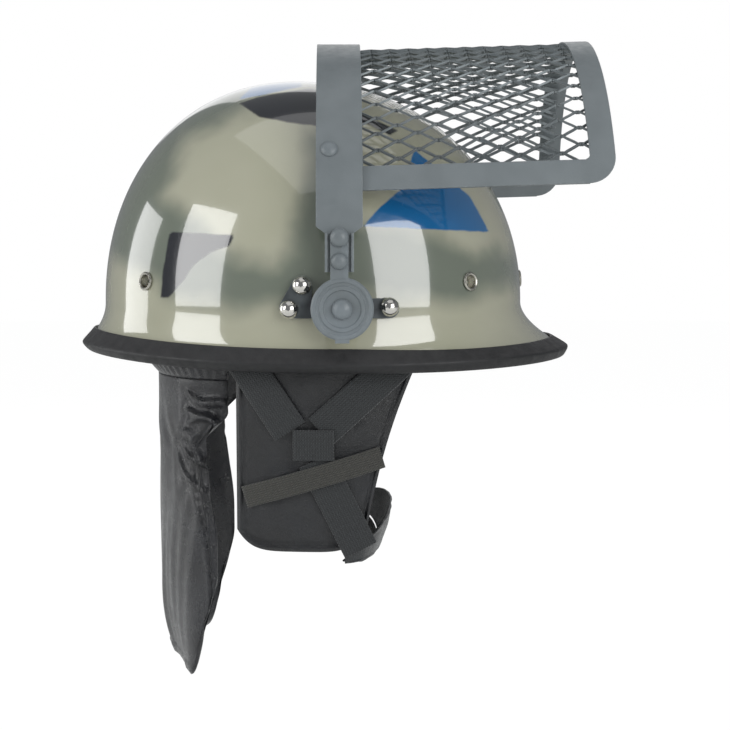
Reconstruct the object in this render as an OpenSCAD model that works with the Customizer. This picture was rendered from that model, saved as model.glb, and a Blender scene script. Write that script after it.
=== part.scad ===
// Riot duty helmet with a raised mesh visor, neck guard, ear flaps and chin strap.
// Front is -Y, the wearer's right side is -X, up is +Z, in millimetres.
// The origin is the centre of the head opening, inside the headband.

/* [Shell] */
// Half width of the shell body, level with the visor pivots
body_half_w = 115; // [112:0.5:117]
// Distance from the head's centre to the front of the shell body
body_front = 125.5; // [120:0.5:131]
// Distance from the head's centre to the back of the shell body
body_rear = 128.5; // [124:0.5:133]
// Height of the crown above the visor pivots
crown_h = 133.6; // [128:0.2:138]
// How far the crown's highest point lies behind the head's centre
crown_back = 12.5; // [6:0.5:18]
// Wall of the shell
shell_wall = 2.6; // [2:0.1:3]
// Roundness of the shell's outlines, where 2 is an ellipse
roundness = 2.1; // [2:0.02:2.2]

/* [Brim] */
// How far the brim stands out beyond the shell body at the sides
brim_out_side = 7.5; // [6:0.5:9]
// How far the brim stands out in front
brim_out_front = 26.9; // [21:0.1:29]
// How far the brim stands out behind
brim_out_rear = 11.9; // [9:0.1:17]
// How far the brim's edge lies below the pivots in front
brim_drop_front = 26.5; // [24:0.5:28]
// How far the brim's edge lies below the pivots at the sides
brim_drop_side = 30.5; // [29:0.5:32]
// How far the brim's edge lies below the pivots behind
brim_drop_rear = 23; // [21:0.5:26]
// Thickness of the rubber trim's lips
trim_lip = 1.7; // [1.2:0.1:2]
// Thickness of the rubber trim outside the brim's edge
trim_face = 2.7; // [2:0.1:3]
// Width of the trim's upper lip, along the brim
trim_reach = 11; // [8:0.5:12]

/* [Vents] */
// Bore of a vent eyelet
vent_bore = 7.4; // [6:0.2:8]
// Outer diameter of a vent eyelet's flange
vent_flange = 10.6; // [10:0.2:12]
// Height of the side vents above the pivots
vent_z = 14; // [10:0.5:20]

/* [Lining] */
// Thickness of the foam impact liner
liner_wall = 12; // [10:0.5:14]
// How far the liner's lower edge lies below the pivots
liner_drop = 12; // [10:0.5:14]
// Gap between the headband and the liner at the sides
headband_side_gap = 17.9; // [14:0.1:24]
// Gap between the headband and the liner in front
headband_end_gap = 10.4; // [7:0.1:16]
// Height of the headband
headband_h = 30; // [26:1:34]
// Thickness of the headband strip
headband_wall = 1.6; // [1.2:0.1:2]
// Thickness of the sweatband
sweatband_wall = 3; // [2:0.5:4]
// Width of a crown strap
crown_strap_w = 20; // [16:1:25]
// Thickness of a crown strap
crown_strap_t = 1.4; // [1:0.1:2]
// Diameter of the crown pad
crown_pad_d = 70; // [60:1:74]
// Width of a clip between the headband and the liner
clip_w = 16; // [12:1:20]
// Height of a clip
clip_h = 12; // [10:1:14]

/* [Visor mounting] */
// How far the pivots lie in front of the head's centre
pivot_fwd = 15.5; // [12:0.5:18]
// Thickness of a mounting plate
plate_wall = 2; // [1.5:0.1:2.4]
// Height of a mounting plate
plate_h = 11; // [10:0.5:13]
// Diameter of a dome nut
dome_nut_d = 10.6; // [9.6:0.2:11]
// Diameter of a plate bolt
plate_bolt_d = 5; // [4:0.5:6]
// Diameter of the pivot bolt
pivot_bolt_d = 6; // [5:0.5:7]
// Diameter of the pivot bolt's domed head
pivot_head_d = 11.2; // [10:0.2:12]
// Height of the pivot bolt's domed head
pivot_head_h = 3.6; // [3:0.2:4]
// Diameter of the nut inside the shell on a pivot bolt
pivot_nut_d = 12.8; // [11:0.2:14]
// Height of the nut on a pivot bolt
pivot_nut_h = 4.4; // [4:0.2:5]
// Diameter of the spacer between a plate and its disc
spacer_d = 20; // [18:0.5:22]
// Diameter of the pivot disc
pivot_disc_d = 34.3; // [32:0.1:35]
// Diameter of an arm's upper rivet head
upper_rivet_d = 10.3; // [9:0.1:11]
// Height of an arm's upper rivet head
upper_rivet_h = 3.3; // [2.5:0.1:3.5]
// Diameter of an arm's lower rivet head
lower_rivet_d = 9.2; // [9:0.1:11]
// Height of an arm's lower rivet head
lower_rivet_h = 3; // [2.5:0.1:3.5]

/* [Visor] */
// How far the lowering visor passes outside the cap nuts
visor_clear = 0.6; // [0.4:0.1:2]
// Height of a cap nut
nut_h = 6.5; // [6:0.1:8]
// How much further the visor band's top is from the pivots than the shell body's side
band_rise = 41; // [38:0.5:45]
// Width of the steel strip that the band is bent from
band_w = 25.4; // [22:0.2:28]
// Thickness of the band
band_wall = 2; // [1.6:0.1:2.2]
// How far the band's middle lies behind the pivots
band_back = 1.5; // [0:0.5:3]
// Distance from the pivots to the visor's front edge
visor_reach = 147.5; // [145:0.5:156]
// Height of the rails' lower edges above the pivots
rail_z = 64; // [60:0.5:70]
// Width of a rail
rail_w = 14; // [12:0.5:16]
// Width of the front lip
lip_w = 10; // [9:0.5:14]
// Diameter of a frame rivet's head
frame_rivet_d = 9.5; // [9:0.1:11]
// Height of a frame rivet's head
frame_rivet_h = 2.4; // [2:0.1:3]
// Thickness of the visor frame
frame_wall = 1.5; // [1.2:0.1:2]
// Slope of the visor frame, rising to the front
frame_slope = 1.8; // [1:0.1:2]
// Long way of a mesh diamond, front to back
mesh_long = 22.5; // [20:0.5:26]
// Short way of a mesh diamond, round the arch
mesh_short = 10.8; // [10.4:0.1:14]
// Width of a mesh strand
mesh_strand = 2.2; // [1.6:0.1:2.6]
// Thickness of the mesh sheet
mesh_wall = 1.5; // [1:0.1:2]

/* [Soft parts] */
// How far the neck guard reaches below the pivots
guard_bottom = 217; // [200:1:236]
// How far in front of the shell body's back the neck guard hangs
guard_in_rear = 31; // [27:0.5:35]
// How far inside the shell body the neck guard hangs at the sides
guard_in_side = 27; // [25:0.5:30]
// Thickness of the neck guard
guard_wall = 4; // [3:0.5:5]
// Depth of the neck guard's folds
guard_fold = 3; // [1:0.5:4]
// How far the ear flaps reach below the pivots
flap_bottom = 138; // [130:1:145]
// Padding of an ear flap at its middle
flap_wall = 8; // [6:0.5:9]
// Width of the front and rear straps
strap_w = 20; // [18:1:22]
// Width of the elastic strap
elastic_w = 12.5; // [10:0.5:14]
// Width of the chin strap
chin_strap_w = 20; // [17:1:22]
// Thickness of the webbing
strap_wall = 1.5; // [1.2:0.1:1.8]

/* [Fits] */
// Gap between pieces that lie on each other
seat_gap = 0.3; // [0.25:0.05:0.4]
// Gap round a bolt in its hole
bolt_gap = 0.3; // [0.2:0.05:0.4]

/* [Hidden] */

brim_half_w = body_half_w + brim_out_side;
brim_front = body_front + brim_out_front;
brim_rear = body_rear + brim_out_rear;
guard_half_w = body_half_w - guard_in_side;
guard_rear = body_rear - guard_in_rear;
around = 64;          // points round the shell
crown_rows = 11;      // rings from the crown to the pivots' level
brim_rows = 5;        // rings from there to the brim's edge
pivot_y = -pivot_fwd;
crown = [0, crown_back, 0];
front_flare = 1.8;    // how late the brim turns outwards, in front, at the sides and behind
side_flare = 4;
rear_flare = 2;
trim_bottom = 3.4;    // rubber below the shell's wall at the edge
lift = 0.02;          // lets solids that are joined share some depth
clear = 20;           // a cutter's length, more than any wall
wide = 4 * body_half_w;   // more than the helmet's width

// ---- outlines ----
function signed_pow(v, p) = sign(v) * pow(abs(v), p);
function mix(a, b, t) = a + (b - a) * t;

// A point at angle a on an outline with its widest place level with the pivots.
// Angle 0 is the left side, 90 behind, 180 the right side and 270 in front.
function outline(a, half_w, front, rear) = let (
    s = sin(a),
    half_l = s < 0 ? front + pivot_y : rear - pivot_y
) [half_w * signed_pow(cos(a), 2 / roundness), pivot_y + half_l * signed_pow(s, 2 / roundness)];

// Half width of the body's outline, drawn in by inset, at a distance y behind the head's centre
function side_x(y, inset) = let (
    half_l = y < pivot_y ? body_front + pivot_y - inset : body_rear - pivot_y - inset,
    part = min(1, abs(y - pivot_y) / half_l)
) (body_half_w - inset) * pow(1 - pow(part, roundness), 1 / roundness);

// The direction that points straight out of the body's outline at angle a
function outward(a) = let (
    half_l = sin(a) < 0 ? body_front + pivot_y : body_rear - pivot_y,
    p = 2 - 2 / roundness,
    v = [signed_pow(cos(a), p) / body_half_w, signed_pow(sin(a), p) / half_l]
) v / norm(v);

// A ring of the dome, where tilt 90 is the crown and 0 is the level of the pivots
function dome_ring(tilt, inset) = let (
    k = pow(cos(tilt), 2 / roundness),
    z = (crown_h - inset) * pow(sin(tilt), 2 / roundness)
) [for (i = [0:around - 1]) let (
    p = outline(360 * i / around, body_half_w - inset, body_front - inset, body_rear - inset)
) [p.x * k, crown.y + (p.y - crown.y) * k, z]];

function at_side(a) = pow(cos(a), 2);
function brim_drop(a) = mix(sin(a) < 0 ? brim_drop_front : brim_drop_rear, brim_drop_side, at_side(a));
function flare_power(a) = mix(sin(a) < 0 ? front_flare : rear_flare, side_flare, at_side(a));
function brim_reach(a) =
    norm(outline(a, brim_half_w, brim_front, brim_rear) - outline(a, body_half_w, body_front, body_rear));

// Direction down the flare at u, as [outwards, up], for the brim at angle a
function flare_dir(a, u) = let (
    p = flare_power(a),
    v = [brim_reach(a) * p * pow(u, p - 1), -brim_drop(a)]
) v / norm(v);

// A point of the flare: u 0 is the pivots' level and 1 the brim's edge.
// It is moved by along, down the flare, and by off, square out of it.
function flare_point(a, u, along, off) = let (
    top = outline(a, body_half_w, body_front, body_rear),
    edge = outline(a, brim_half_w, brim_front, brim_rear),
    flat = mix(top, edge, pow(u, flare_power(a))),
    d = flare_dir(a, u),
    out = along * d.x - off * d.y,
    up = along * d.y + off * d.x,
    n = outward(a)
) [flat.x + n.x * out, flat.y + n.y * out, -brim_drop(a) * u + up];

function flare_ring(u, along, off) =
    [for (i = [0:around - 1]) flare_point(360 * i / around, u, along, off)];

// ---- solids from rings of points ----
function ring_faces(rows, n, r) = [for (i = [0:n - 1]) let (
    a = r * n + i,
    b = r * n + (i + 1) % n,
    c = ((r + 1) % rows) * n + i,
    d = ((r + 1) % rows) * n + (i + 1) % n
) each [[a, b, c], [b, d, c]]];

// A closed solid between two poles, through rings that all have as many points
module skin(first, rings, last) {
    n = len(rings[0]);
    m = len(rings);
    points = concat([for (r = rings) each r], [first, last]);
    faces = concat(
        [for (i = [0:n - 1]) [m * n, (i + 1) % n, i]],
        [for (r = [0:m - 2]) each ring_faces(m, n, r)],
        [for (i = [0:n - 1]) [m * n + 1, (m - 1) * n + i, (m - 1) * n + (i + 1) % n]]
    );
    polyhedron(points, faces);
}

// A closed solid whose rings follow each other round a loop
module loop_skin(rings) {
    n = len(rings[0]);
    m = len(rings);
    polyhedron([for (r = rings) each r], [for (r = [0:m - 1]) each ring_faces(m, n, r)]);
}

// A closed solid through rings of points, with its first and last ring filled in
module tube_skin(rings) {
    n = len(rings[0]);
    m = len(rings);
    faces = concat(
        [for (i = [1:n - 2]) [0, i + 1, i]],
        [for (r = [0:m - 2]) each ring_faces(m, n, r)],
        [for (i = [1:n - 2]) [(m - 1) * n, (m - 1) * n + i, (m - 1) * n + i + 1]]
    );
    polyhedron([for (r = rings) each r], faces);
}

// A sheet: row r runs out along its outer points and back along its inner ones
module sheet(outer, inner) {
    tube_strip([for (r = [0:len(outer) - 1])
        concat(outer[r], [for (i = [len(inner[r]) - 1:-1:0]) inner[r][i]])
    ]);
}

// As tube_skin, for rings that are long and thin, whose ends are filled in pair by pair
module tube_strip(rings) {
    n = len(rings[0]);
    m = len(rings);
    h = n / 2;
    last = (m - 1) * n;
    faces = concat(
        [for (i = [0:h - 2]) each [[i, n - 1 - i, i + 1], [i + 1, n - 1 - i, n - 2 - i]]],
        [for (r = [0:m - 2]) each ring_faces(m, n, r)],
        [for (i = [0:h - 2]) each [
            [last + i, last + i + 1, last + n - 1 - i],
            [last + i + 1, last + n - 2 - i, last + n - 1 - i]
        ]]
    );
    polyhedron([for (r = rings) each r], faces);
}

module both_sides() {
    children();
    mirror([1, 0, 0]) children();
}

// Turns what is drawn along +Z to point out of the right side of the helmet
module facing_right(x, y, z) {
    translate([-x, y, z]) rotate([0, -90, 0]) children();
}

// ---- shell ----
vent_rear_y = body_rear - 32.5;
vent_front_y = -body_front + 37.8;

// The body's outline scaled to a height z, as half width at a place y
function level_scale(z) = pow(1 - pow(z / crown_h, roundness), 1 / roundness);
function shell_x(y, z) = let (k = level_scale(z), yy = crown.y + (y - crown.y) / k) side_x(yy, 0) * k;
function side_turn(y, z) = atan((shell_x(y + 1, z) - shell_x(y - 1, z)) / 2);
function side_lean(y, z) = atan((shell_x(y, z - 1) - shell_x(y, z + 1)) / 2);
front_vent_y = -crown.y + (body_front + crown.y) * level_scale(vent_z);
front_lean = 4;

// A place on the shell's right side, with +Z straight out of the shell
module on_side(y, z) {
    translate([-shell_x(y, z), y, z])
        rotate([0, 0, side_turn(y, z)])
            rotate([0, -90 + side_lean(y, z), 0]) children();
}

module at_vents() {
    both_sides() {
        on_side(vent_rear_y, vent_z) children();
        on_side(vent_front_y, vent_z) children();
    }
    translate([0, -front_vent_y, vent_z]) rotate([90 - front_lean, 0, 0]) children();
}

vent_barrel = vent_flange - 2;      // outer diameter of an eyelet's barrel
vent_depth = shell_wall + 2;        // how far the barrel reaches in from the outer face

module vent_holes() {
    at_vents() cylinder(d = vent_barrel + 2 * seat_gap, h = clear, center = true, $fn = 32);
}

// Plate bolts, as [behind the pivot, above it]
plate_bolts = [[29, -0.5], [22, 12.5], [-26, 0.8]];
bolt_hole = plate_bolt_d + 2 * bolt_gap;
pivot_hole = pivot_bolt_d + 2 * bolt_gap;

module side_bolt_holes() {
    both_sides() {
        for (b = plate_bolts)
            facing_right(body_half_w, pivot_y + b.x, b.y)
                cylinder(d = bolt_hole, h = clear, center = true, $fn = 32);
        facing_right(body_half_w, pivot_y, 0) cylinder(d = pivot_hole, h = clear, center = true, $fn = 32);
    }
}

module shell() {
    color("#9a9b86")
    difference() {
        skin(
            crown + [0, 0, crown_h],
            concat(
                [for (k = [1:crown_rows]) dome_ring(90 - 90 * k / crown_rows, 0)],
                [for (k = [1:brim_rows]) flare_ring(k / brim_rows, 0, 0)],
                [for (k = [brim_rows:-1:1]) flare_ring(k / brim_rows, 0, -shell_wall)],
                [for (k = [crown_rows:-1:1]) dome_ring(90 - 90 * k / crown_rows, shell_wall)]
            ),
            crown + [0, 0, crown_h - shell_wall]
        );
        vent_holes();
        side_bolt_holes();
    }
}

// The trim's section, as [along the flare past the edge, square out of it]
trim_gap = 0.7 * seat_gap;
trim_in = shell_wall + trim_gap;
trim_low = trim_in + trim_bottom;
trim_section = [
    [-trim_reach, trim_gap], [trim_gap, trim_gap], [trim_gap, -trim_in],
    [-trim_reach + 3, -trim_in], [-trim_reach + 3, -trim_in - 1.2],
    [-3, -trim_low], [0.4 * trim_face, -trim_low],
    [trim_face, -trim_low + 1.6], [trim_face, trim_lip - 1.2],
    [trim_face - 1.4, trim_lip + trim_gap], [-trim_reach, trim_lip + trim_gap]
];

// Past the edge the trim follows the flare's last direction; on the brim it lies on the wall
function trim_point(a, p) = p.x >= 0 ? flare_point(a, 1, p.x, p.y) : flare_on_wall(a, -p.x, p.y);

// A point that lies down above the edge by a height, on the wall, moved off it
function flare_on_wall(a, down, off) = let (
    u = 1 - down * -flare_dir(a, 1).y / brim_drop(a)
) flare_point(a, u, 0, off);

module edge_trim() {
    color("#26292b")
    loop_skin([for (i = [0:around - 1]) let (a = 360 * i / around)
        [for (p = trim_section) trim_point(a, p)]
    ]);
}

module vent_eyelets() {
    color("#a9a79c")
    at_vents()
        rotate_extrude($fn = 40)
            polygon([
                [vent_bore / 2, -vent_depth], [vent_barrel / 2, -vent_depth],
                [vent_barrel / 2, 0.5], [vent_flange / 2, 0.5],
                [vent_flange / 2, 1], [vent_bore / 2 + 0.8, 1.7], [vent_bore / 2, 1.2]
            ]);
}

// ---- lining ----
liner_inset = shell_wall + 0.5;
liner_inner = liner_inset + liner_wall;
headband_half_w = body_half_w - liner_inner - headband_side_gap;
headband_half_l = min(body_front, body_rear) - liner_inner - headband_end_gap;
bolt_head_d = 9.6;
pocket_depth = shell_wall + 8;       // how deep the liner is let out for the bolts' inner ends

function wall_ring(z, inset) = [for (i = [0:around - 1]) let (
    p = outline(360 * i / around, body_half_w - inset, body_front - inset, body_rear - inset)
) [p.x, p.y, z]];

module impact_liner() {
    color("#e6e4da")
    difference() {
        skin(
            crown + [0, 0, crown_h - liner_inset],
            concat(
                [for (k = [1:8]) dome_ring(90 - 90 * k / 8, liner_inset)],
                [wall_ring(-liner_drop, liner_inset), wall_ring(-liner_drop, liner_inner)],
                [for (k = [8:-1:1]) dome_ring(90 - 90 * k / 8, liner_inner)]
            ),
            crown + [0, 0, crown_h - liner_inner]
        );
        at_vents() translate([0, 0, -vent_depth - 2 * seat_gap]) cylinder(d = vent_flange, h = clear, $fn = 24);
        both_sides() {
            for (b = plate_bolts)
                facing_right(body_half_w - pocket_depth, pivot_y + b.x, b.y)
                    cylinder(d = bolt_head_d + 1.4, h = clear, $fn = 24);
            facing_right(body_half_w - pocket_depth, pivot_y, 0)
                cylinder(d = pivot_nut_d + 2.2, h = clear, $fn = 24);
        }
    }
}

pad_h = 13;                                                    // height of the crown pad, with its gaps
strap_top = crown_h - liner_inner - pad_h - seat_gap;          // top of the crossed straps

module crown_pad() {
    color("#2b2d30")
    translate([0, 0, strap_top + seat_gap])
        rotate_extrude($fn = 64)
            polygon([
                [0, 0], [crown_pad_d / 2 - 4, 0], [crown_pad_d / 2 - 1, 2], [crown_pad_d / 2 - 1, pad_h - 9.4],
                [crown_pad_d / 2 - 5, pad_h - 8], [crown_pad_d / 2 - 15, pad_h - 5],
                [crown_pad_d / 2 - 25, pad_h - 3], [0, pad_h - 2]
            ]);
}
// Half of an oval, as a strip of thickness t under a half width and a height
function half_oval(half_w, h, t, steps) = concat(
    [for (k = [0:steps]) [half_w * cos(180 * k / steps), h * sin(180 * k / steps)]],
    [for (k = [steps:-1:0]) [(half_w - t) * cos(180 * k / steps), (h - t) * sin(180 * k / steps)]]
);

leg = headband_h * 0.4;              // how far a crown strap hangs down outside the headband
strap_gap = crown_strap_t + seat_gap;

// A strap over the head, whose ends hang down outside the headband
module crown_strap(half_w, h) {
    top = headband_h / 2;
    translate([0, crown_strap_w / 2, 0])
        rotate([90, 0, 0])
            linear_extrude(crown_strap_w)
                union() {
                    translate([0, top]) polygon(half_oval(half_w, h - top, crown_strap_t, 32));
                    for (x = [-half_w, half_w - crown_strap_t])
                        translate([x, top - leg]) square([crown_strap_t, leg + lift]);
                }
}

module crown_straps() {
    color("#303236")
    union() {
        crown_strap(headband_half_w + strap_gap, strap_top);
        rotate([0, 0, 90]) crown_strap(headband_half_l + strap_gap, strap_top);
    }
}

function oval(half_w, half_l, n) = [for (i = [0:n - 1]) [half_w * cos(360 * i / n), half_l * sin(360 * i / n)]];

module oval_band(half_w, half_l, wall, h) {
    linear_extrude(h)
        difference() {
            polygon(oval(half_w, half_l, 72));
            polygon(oval(half_w - wall, half_l - wall, 72));
        }
}

module headband() {
    color("#1e2022")
    translate([0, 0, -headband_h / 2]) oval_band(headband_half_w, headband_half_l, headband_wall, headband_h);
}

module sweatband() {
    color("#4a3b30")
    translate([0, 0, -headband_h / 2 + 2])
        oval_band(
            headband_half_w - headband_wall - seat_gap, headband_half_l - headband_wall - seat_gap,
            sweatband_wall, headband_h - 4
        );
}

// Clips that carry the headband from the liner, between the crown straps
clip_angles = [45, 135, 225, 315];
clip_inset = liner_inner + 2 * seat_gap;

module headband_clips() {
    color("#1e2022")
    difference() {
        for (a = clip_angles) {
            p = oval(headband_half_w, headband_half_l, 360)[a];
            rotate([0, 0, atan2(p.y, p.x)])
                translate([0, -clip_w / 2, -clip_h * 2 / 3]) cube([body_rear, clip_w, clip_h]);
        }
        linear_extrude(3 * clip_h, center = true)
            polygon(oval(headband_half_w + seat_gap, headband_half_l + seat_gap, 72));
        clip_outside();
    }
}

// Everything outside the liner's inner face
module clip_outside() {
    difference() {
        cylinder(d = wide, h = 3 * clip_h, center = true, $fn = 64);
        linear_extrude(4 * clip_h, center = true)
            polygon([for (i = [0:around - 1]) outline(
                360 * i / around, body_half_w - clip_inset, body_front - clip_inset, body_rear - clip_inset
            )]);
    }
}

// ---- visor mounting ----
plate_in = body_half_w + 0.4;
plate_out = plate_in + plate_wall;
disc_wall = 2;
wing_bend = 5;                       // how far each end of a plate is bent back to the shell
plate_flat = 12;                     // half length of the plate's flat middle
plate_rear = 34.5;                   // how far the plate reaches behind the pivot and in front of it
plate_front = 31.5;

// The bent strip seen from above, as x out of the helmet and y along it
function plate_strip(rear, front) = let (
    back = (rear - plate_flat) * sin(wing_bend),
    fore = (front - plate_flat) * sin(wing_bend)
) [
    [-back, rear], [0, plate_flat], [0, -plate_flat], [-fore, -front],
    [plate_wall - fore, -front], [plate_wall, -plate_flat], [plate_wall, plate_flat], [plate_wall - back, rear]
];

function plate_arc(center, from, to) = [
    for (k = [0:8]) let (a = mix(from, to, k / 8)) center + plate_h / 2 * [cos(a), sin(a)]
];

// Its outline seen from the side, with an ear up to the second bolt
module plate_side() {
    polygon(concat(
        plate_arc([plate_h / 2 - plate_front, 0], 90, 270),
        plate_arc([plate_rear - plate_h / 2, 0], -90, 30),
        plate_arc(plate_bolts[1], 30, 180),
        [[plate_bolts[1].x - plate_h / 2, plate_h / 2]]
    ));
}

// Drawn for the left side, at the pivot, with x out of the helmet
module plate_body() {
    difference() {
        intersection() {
            translate([0, 0, -plate_h]) linear_extrude(4 * plate_h)
                polygon(plate_strip(plate_rear + 1, plate_front + 1));
            rotate([90, 0, 90]) linear_extrude(clear, center = true) plate_side();
        }
        rotate([0, 90, 0]) cylinder(d = pivot_hole, h = clear, center = true, $fn = 32);
        for (b = plate_bolts)
            rotate([0, 90, 0])
                translate([-b.y, b.x, 0]) cylinder(d = bolt_hole, h = clear, center = true, $fn = 32);
    }
}

module mounting_plate() {
    color("#4b5154")
    translate([plate_in, pivot_y, 0]) plate_body();
}

module mounting_plate_right() {
    mirror([1, 0, 0]) mounting_plate();
}

module mounting_plate_left() {
    mounting_plate();
}

// Where a bolt's plate surface lies, out from the pivot's, along a bent wing
function wing_set_back(b) = -(abs(b.x) - plate_flat) * sin(wing_bend);

nut_base = dome_nut_d / 2 * sin(wing_bend) + seat_gap / 3;     // the nuts' seats, off the bent wings
nut_out = plate_out + wing_set_back(plate_bolts[2]) + nut_base + nut_h;
rivet_tail = 0.8;                                              // how far a rivet stands inside the band
band_half_in = nut_out + rivet_tail + visor_clear;
band_half_out = band_half_in + band_wall;
disc_in = band_half_out;
disc_out = disc_in + disc_wall;

module at_plate_bolts() {
    both_sides()
        for (b = plate_bolts)
            translate([plate_out + wing_set_back(b) + nut_base, pivot_y + b.x, b.y])
                rotate([0, 90, 0]) children();
}

inner_head = 2.4;                                              // height of a plate bolt's head
bolt_length = plate_wall + shell_wall + inner_head + 3.8;      // from the nut's seat to the head's far side

module plate_bolts() {
    color("#8d9296")
    at_plate_bolts() {
        translate([0, 0, -bolt_length + inner_head - lift])
            cylinder(d = plate_bolt_d, h = bolt_length - inner_head + nut_h - 2.5, $fn = 32);
        translate([0, 0, -bolt_length]) cylinder(d = bolt_head_d, h = inner_head, $fn = 32);
    }
}

// Ball-like cap nuts, cut flat where they sit on the plate
module dome_nuts() {
    r = dome_nut_d / 2;
    color("#d8d6d2")
    at_plate_bolts()
        difference() {
            translate([0, 0, nut_h - r]) sphere(r = r, $fn = 48);
            translate([-r, -r, -2 * r]) cube(2 * r);
            translate([0, 0, -1]) cylinder(d = plate_bolt_d + 0.2, h = nut_h - 1, $fn = 32);
        }
}

module pivot_spacers() {
    color("#33363a")
    both_sides()
        facing_right(plate_out + seat_gap / 3, pivot_y, 0)
            difference() {
                cylinder(d = spacer_d, h = disc_in - plate_out - seat_gap, $fn = 48);
                translate([0, 0, -1]) cylinder(d = pivot_hole, h = clear, $fn = 32);
            }
}

pivot_inner = body_half_w - shell_wall - pivot_nut_h - 0.6;    // the inner end of a pivot bolt
pivot_seat = disc_out + seat_gap + 0.9;                        // the domed head, clear of the disc's ridges

module pivot_bolts() {
    color("#70767a")
    both_sides()
        facing_right(pivot_inner, pivot_y, 0) {
            cylinder(d = pivot_nut_d, h = pivot_nut_h, $fn = 6);
            cylinder(d = pivot_bolt_d, h = pivot_seat + 0.4 - pivot_inner, $fn = 32);
            translate([0, 0, pivot_seat - pivot_inner])
                rotate_extrude($fn = 48)
                    polygon(concat(
                        [[0, 0]],
                        [for (k = [0:6]) [pivot_head_d / 2 * cos(15 * k), pivot_head_h * sin(15 * k)]]
                    ));
        }
}

// ---- visor ----
band_y = pivot_y + band_back;
band_top = body_half_w + band_rise;
arch_z = band_top - band_half_out;
tongue_w = 9.8;
tongue_top = 44;
channel_w = 15.7;
channel_bottom = 20;
shoulder_z = 41;
shoulder_h = 3.6;
arm_rivet_z = [25.8, 38.5];
rivet_hole = 4;
rivet_shank = 3.8;

module arm() {
    r = pivot_disc_d / 2;
    color("#70787c")
    difference() {
        union() {
            facing_right(disc_in, pivot_y, 0)
                rotate_extrude($fn = 72)
                    polygon([
                        [0, 0], [r - 1, 0], [r, 0.8], [r, 1.6], [r - 1, disc_wall + 0.5],
                        [r - 2.4, disc_wall + 0.6], [r - 3.2, disc_wall],
                        [r - 4.2, disc_wall], [r - 5, disc_wall + 0.8],
                        [r - 6.6, disc_wall + 0.8], [r - 7.4, disc_wall], [0, disc_wall]
                    ]);
            translate([-disc_out, band_y - tongue_w / 2, 0])
                cube([disc_wall, tongue_w, tongue_top - tongue_w / 2]);
            facing_right(disc_in, band_y, tongue_top - tongue_w / 2)
                cylinder(d = tongue_w, h = disc_wall, $fn = 40);
            translate([-disc_out, pivot_y - 3.9, -r - 1.4]) cube([disc_wall, 7.8, r]);
        }
        facing_right(disc_in, pivot_y, 0) cylinder(d = pivot_hole, h = clear, center = true, $fn = 32);
        for (z = arm_rivet_z)
            facing_right(disc_in, band_y, z) cylinder(d = rivet_hole, h = clear, center = true, $fn = 24);
    }
}

module visor_arm_right() {
    arm();
}

module visor_arm_left() {
    mirror([1, 0, 0]) arm();
}

// A domed rivet head with its shank, drawn along +Z with the head's base at 0
module rivet(head_d, head_h, shank_d, length) {
    rotate_extrude($fn = 40)
        polygon(concat(
            [[0, -length], [shank_d / 2, -length], [shank_d / 2, 0]],
            [for (k = [0:5]) [head_d / 2 * cos(18 * k), head_h * sin(18 * k)]]
        ));
}

module arm_rivets() {
    shank = disc_wall + band_wall + rivet_tail;
    color("#70787c")
    both_sides() {
        facing_right(disc_out, band_y, arm_rivet_z[0]) rivet(lower_rivet_d, lower_rivet_h, rivet_shank, shank);
        facing_right(disc_out, band_y, arm_rivet_z[1]) rivet(upper_rivet_d, upper_rivet_h, rivet_shank, shank);
    }
}

// Draws an outline of x and z, and carries it forward from y by a length
module forward(y, length) {
    translate([0, y, 0]) rotate([90, 0, 0]) linear_extrude(length) children();
}

// A round-topped outline of half width r that stands on the level low
module arch_fill(r, low) {
    intersection() {
        translate([0, arch_z]) circle(r, $fn = 128);
        translate([-2 * r, arch_z]) square([4 * r, 2 * r]);
    }
    translate([-r, low]) square([2 * r, arch_z - low]);
}

// Outside the channel, below the shoulders, on one side of the band
module shoulder_cut() {
    rotate([90, 0, 90]) linear_extrude(wide, center = true)
        polygon([
            [channel_w / 2, channel_bottom - 5], [channel_w / 2, shoulder_z],
            [band_w / 2, shoulder_z + shoulder_h], [band_w, shoulder_z + shoulder_h],
            [band_w, channel_bottom - 5]
        ]);
}

module visor_band() {
    flange = 1.4;
    color("#6f7678")
    difference() {
        union() {
            difference() {
                forward(band_y + band_w / 2, band_w)
                    difference() {
                        arch_fill(band_half_out, channel_bottom);
                        arch_fill(band_half_in, channel_bottom - 1);
                    }
                translate([0, band_y, 0]) {
                    shoulder_cut();
                    mirror([0, 1, 0]) shoulder_cut();
                }
            }
            both_sides()
                for (s = [-1, 1])
                    translate([
                        -band_half_out - 2.2,
                        band_y + s * (channel_w / 2 - flange / 2) - flange / 2,
                        channel_bottom
                    ])
                        cube([2.2 + lift, flange, shoulder_z - channel_bottom]);
        }
        both_sides() {
            for (z = arm_rivet_z)
                facing_right(band_half_in, band_y, z)
                    cylinder(d = rivet_hole, h = clear, center = true, $fn = 24);
        }
        at_frame_rivets() cylinder(d = rivet_hole, h = clear, center = true, $fn = 24);
    }
}

frame_gap = 0.5;
frame_out = band_half_in - frame_gap;
frame_in = frame_out - frame_wall;
rail_angle = asin((rail_z - arch_z) / frame_out);
window_angle = rail_angle + rail_w / frame_out * 180 / PI;
frame_back = band_y + band_w / 2 - 2;
frame_front = pivot_y - visor_reach;
frame_length = frame_back - frame_front;
corner_r = 15;
gusset = 8;

// The frame's own axes: it slopes up to the front from the top of the band
module sloped() {
    translate([0, band_y, band_top]) rotate([-frame_slope, 0, 0]) translate([0, -band_y, -band_top]) children();
}

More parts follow.
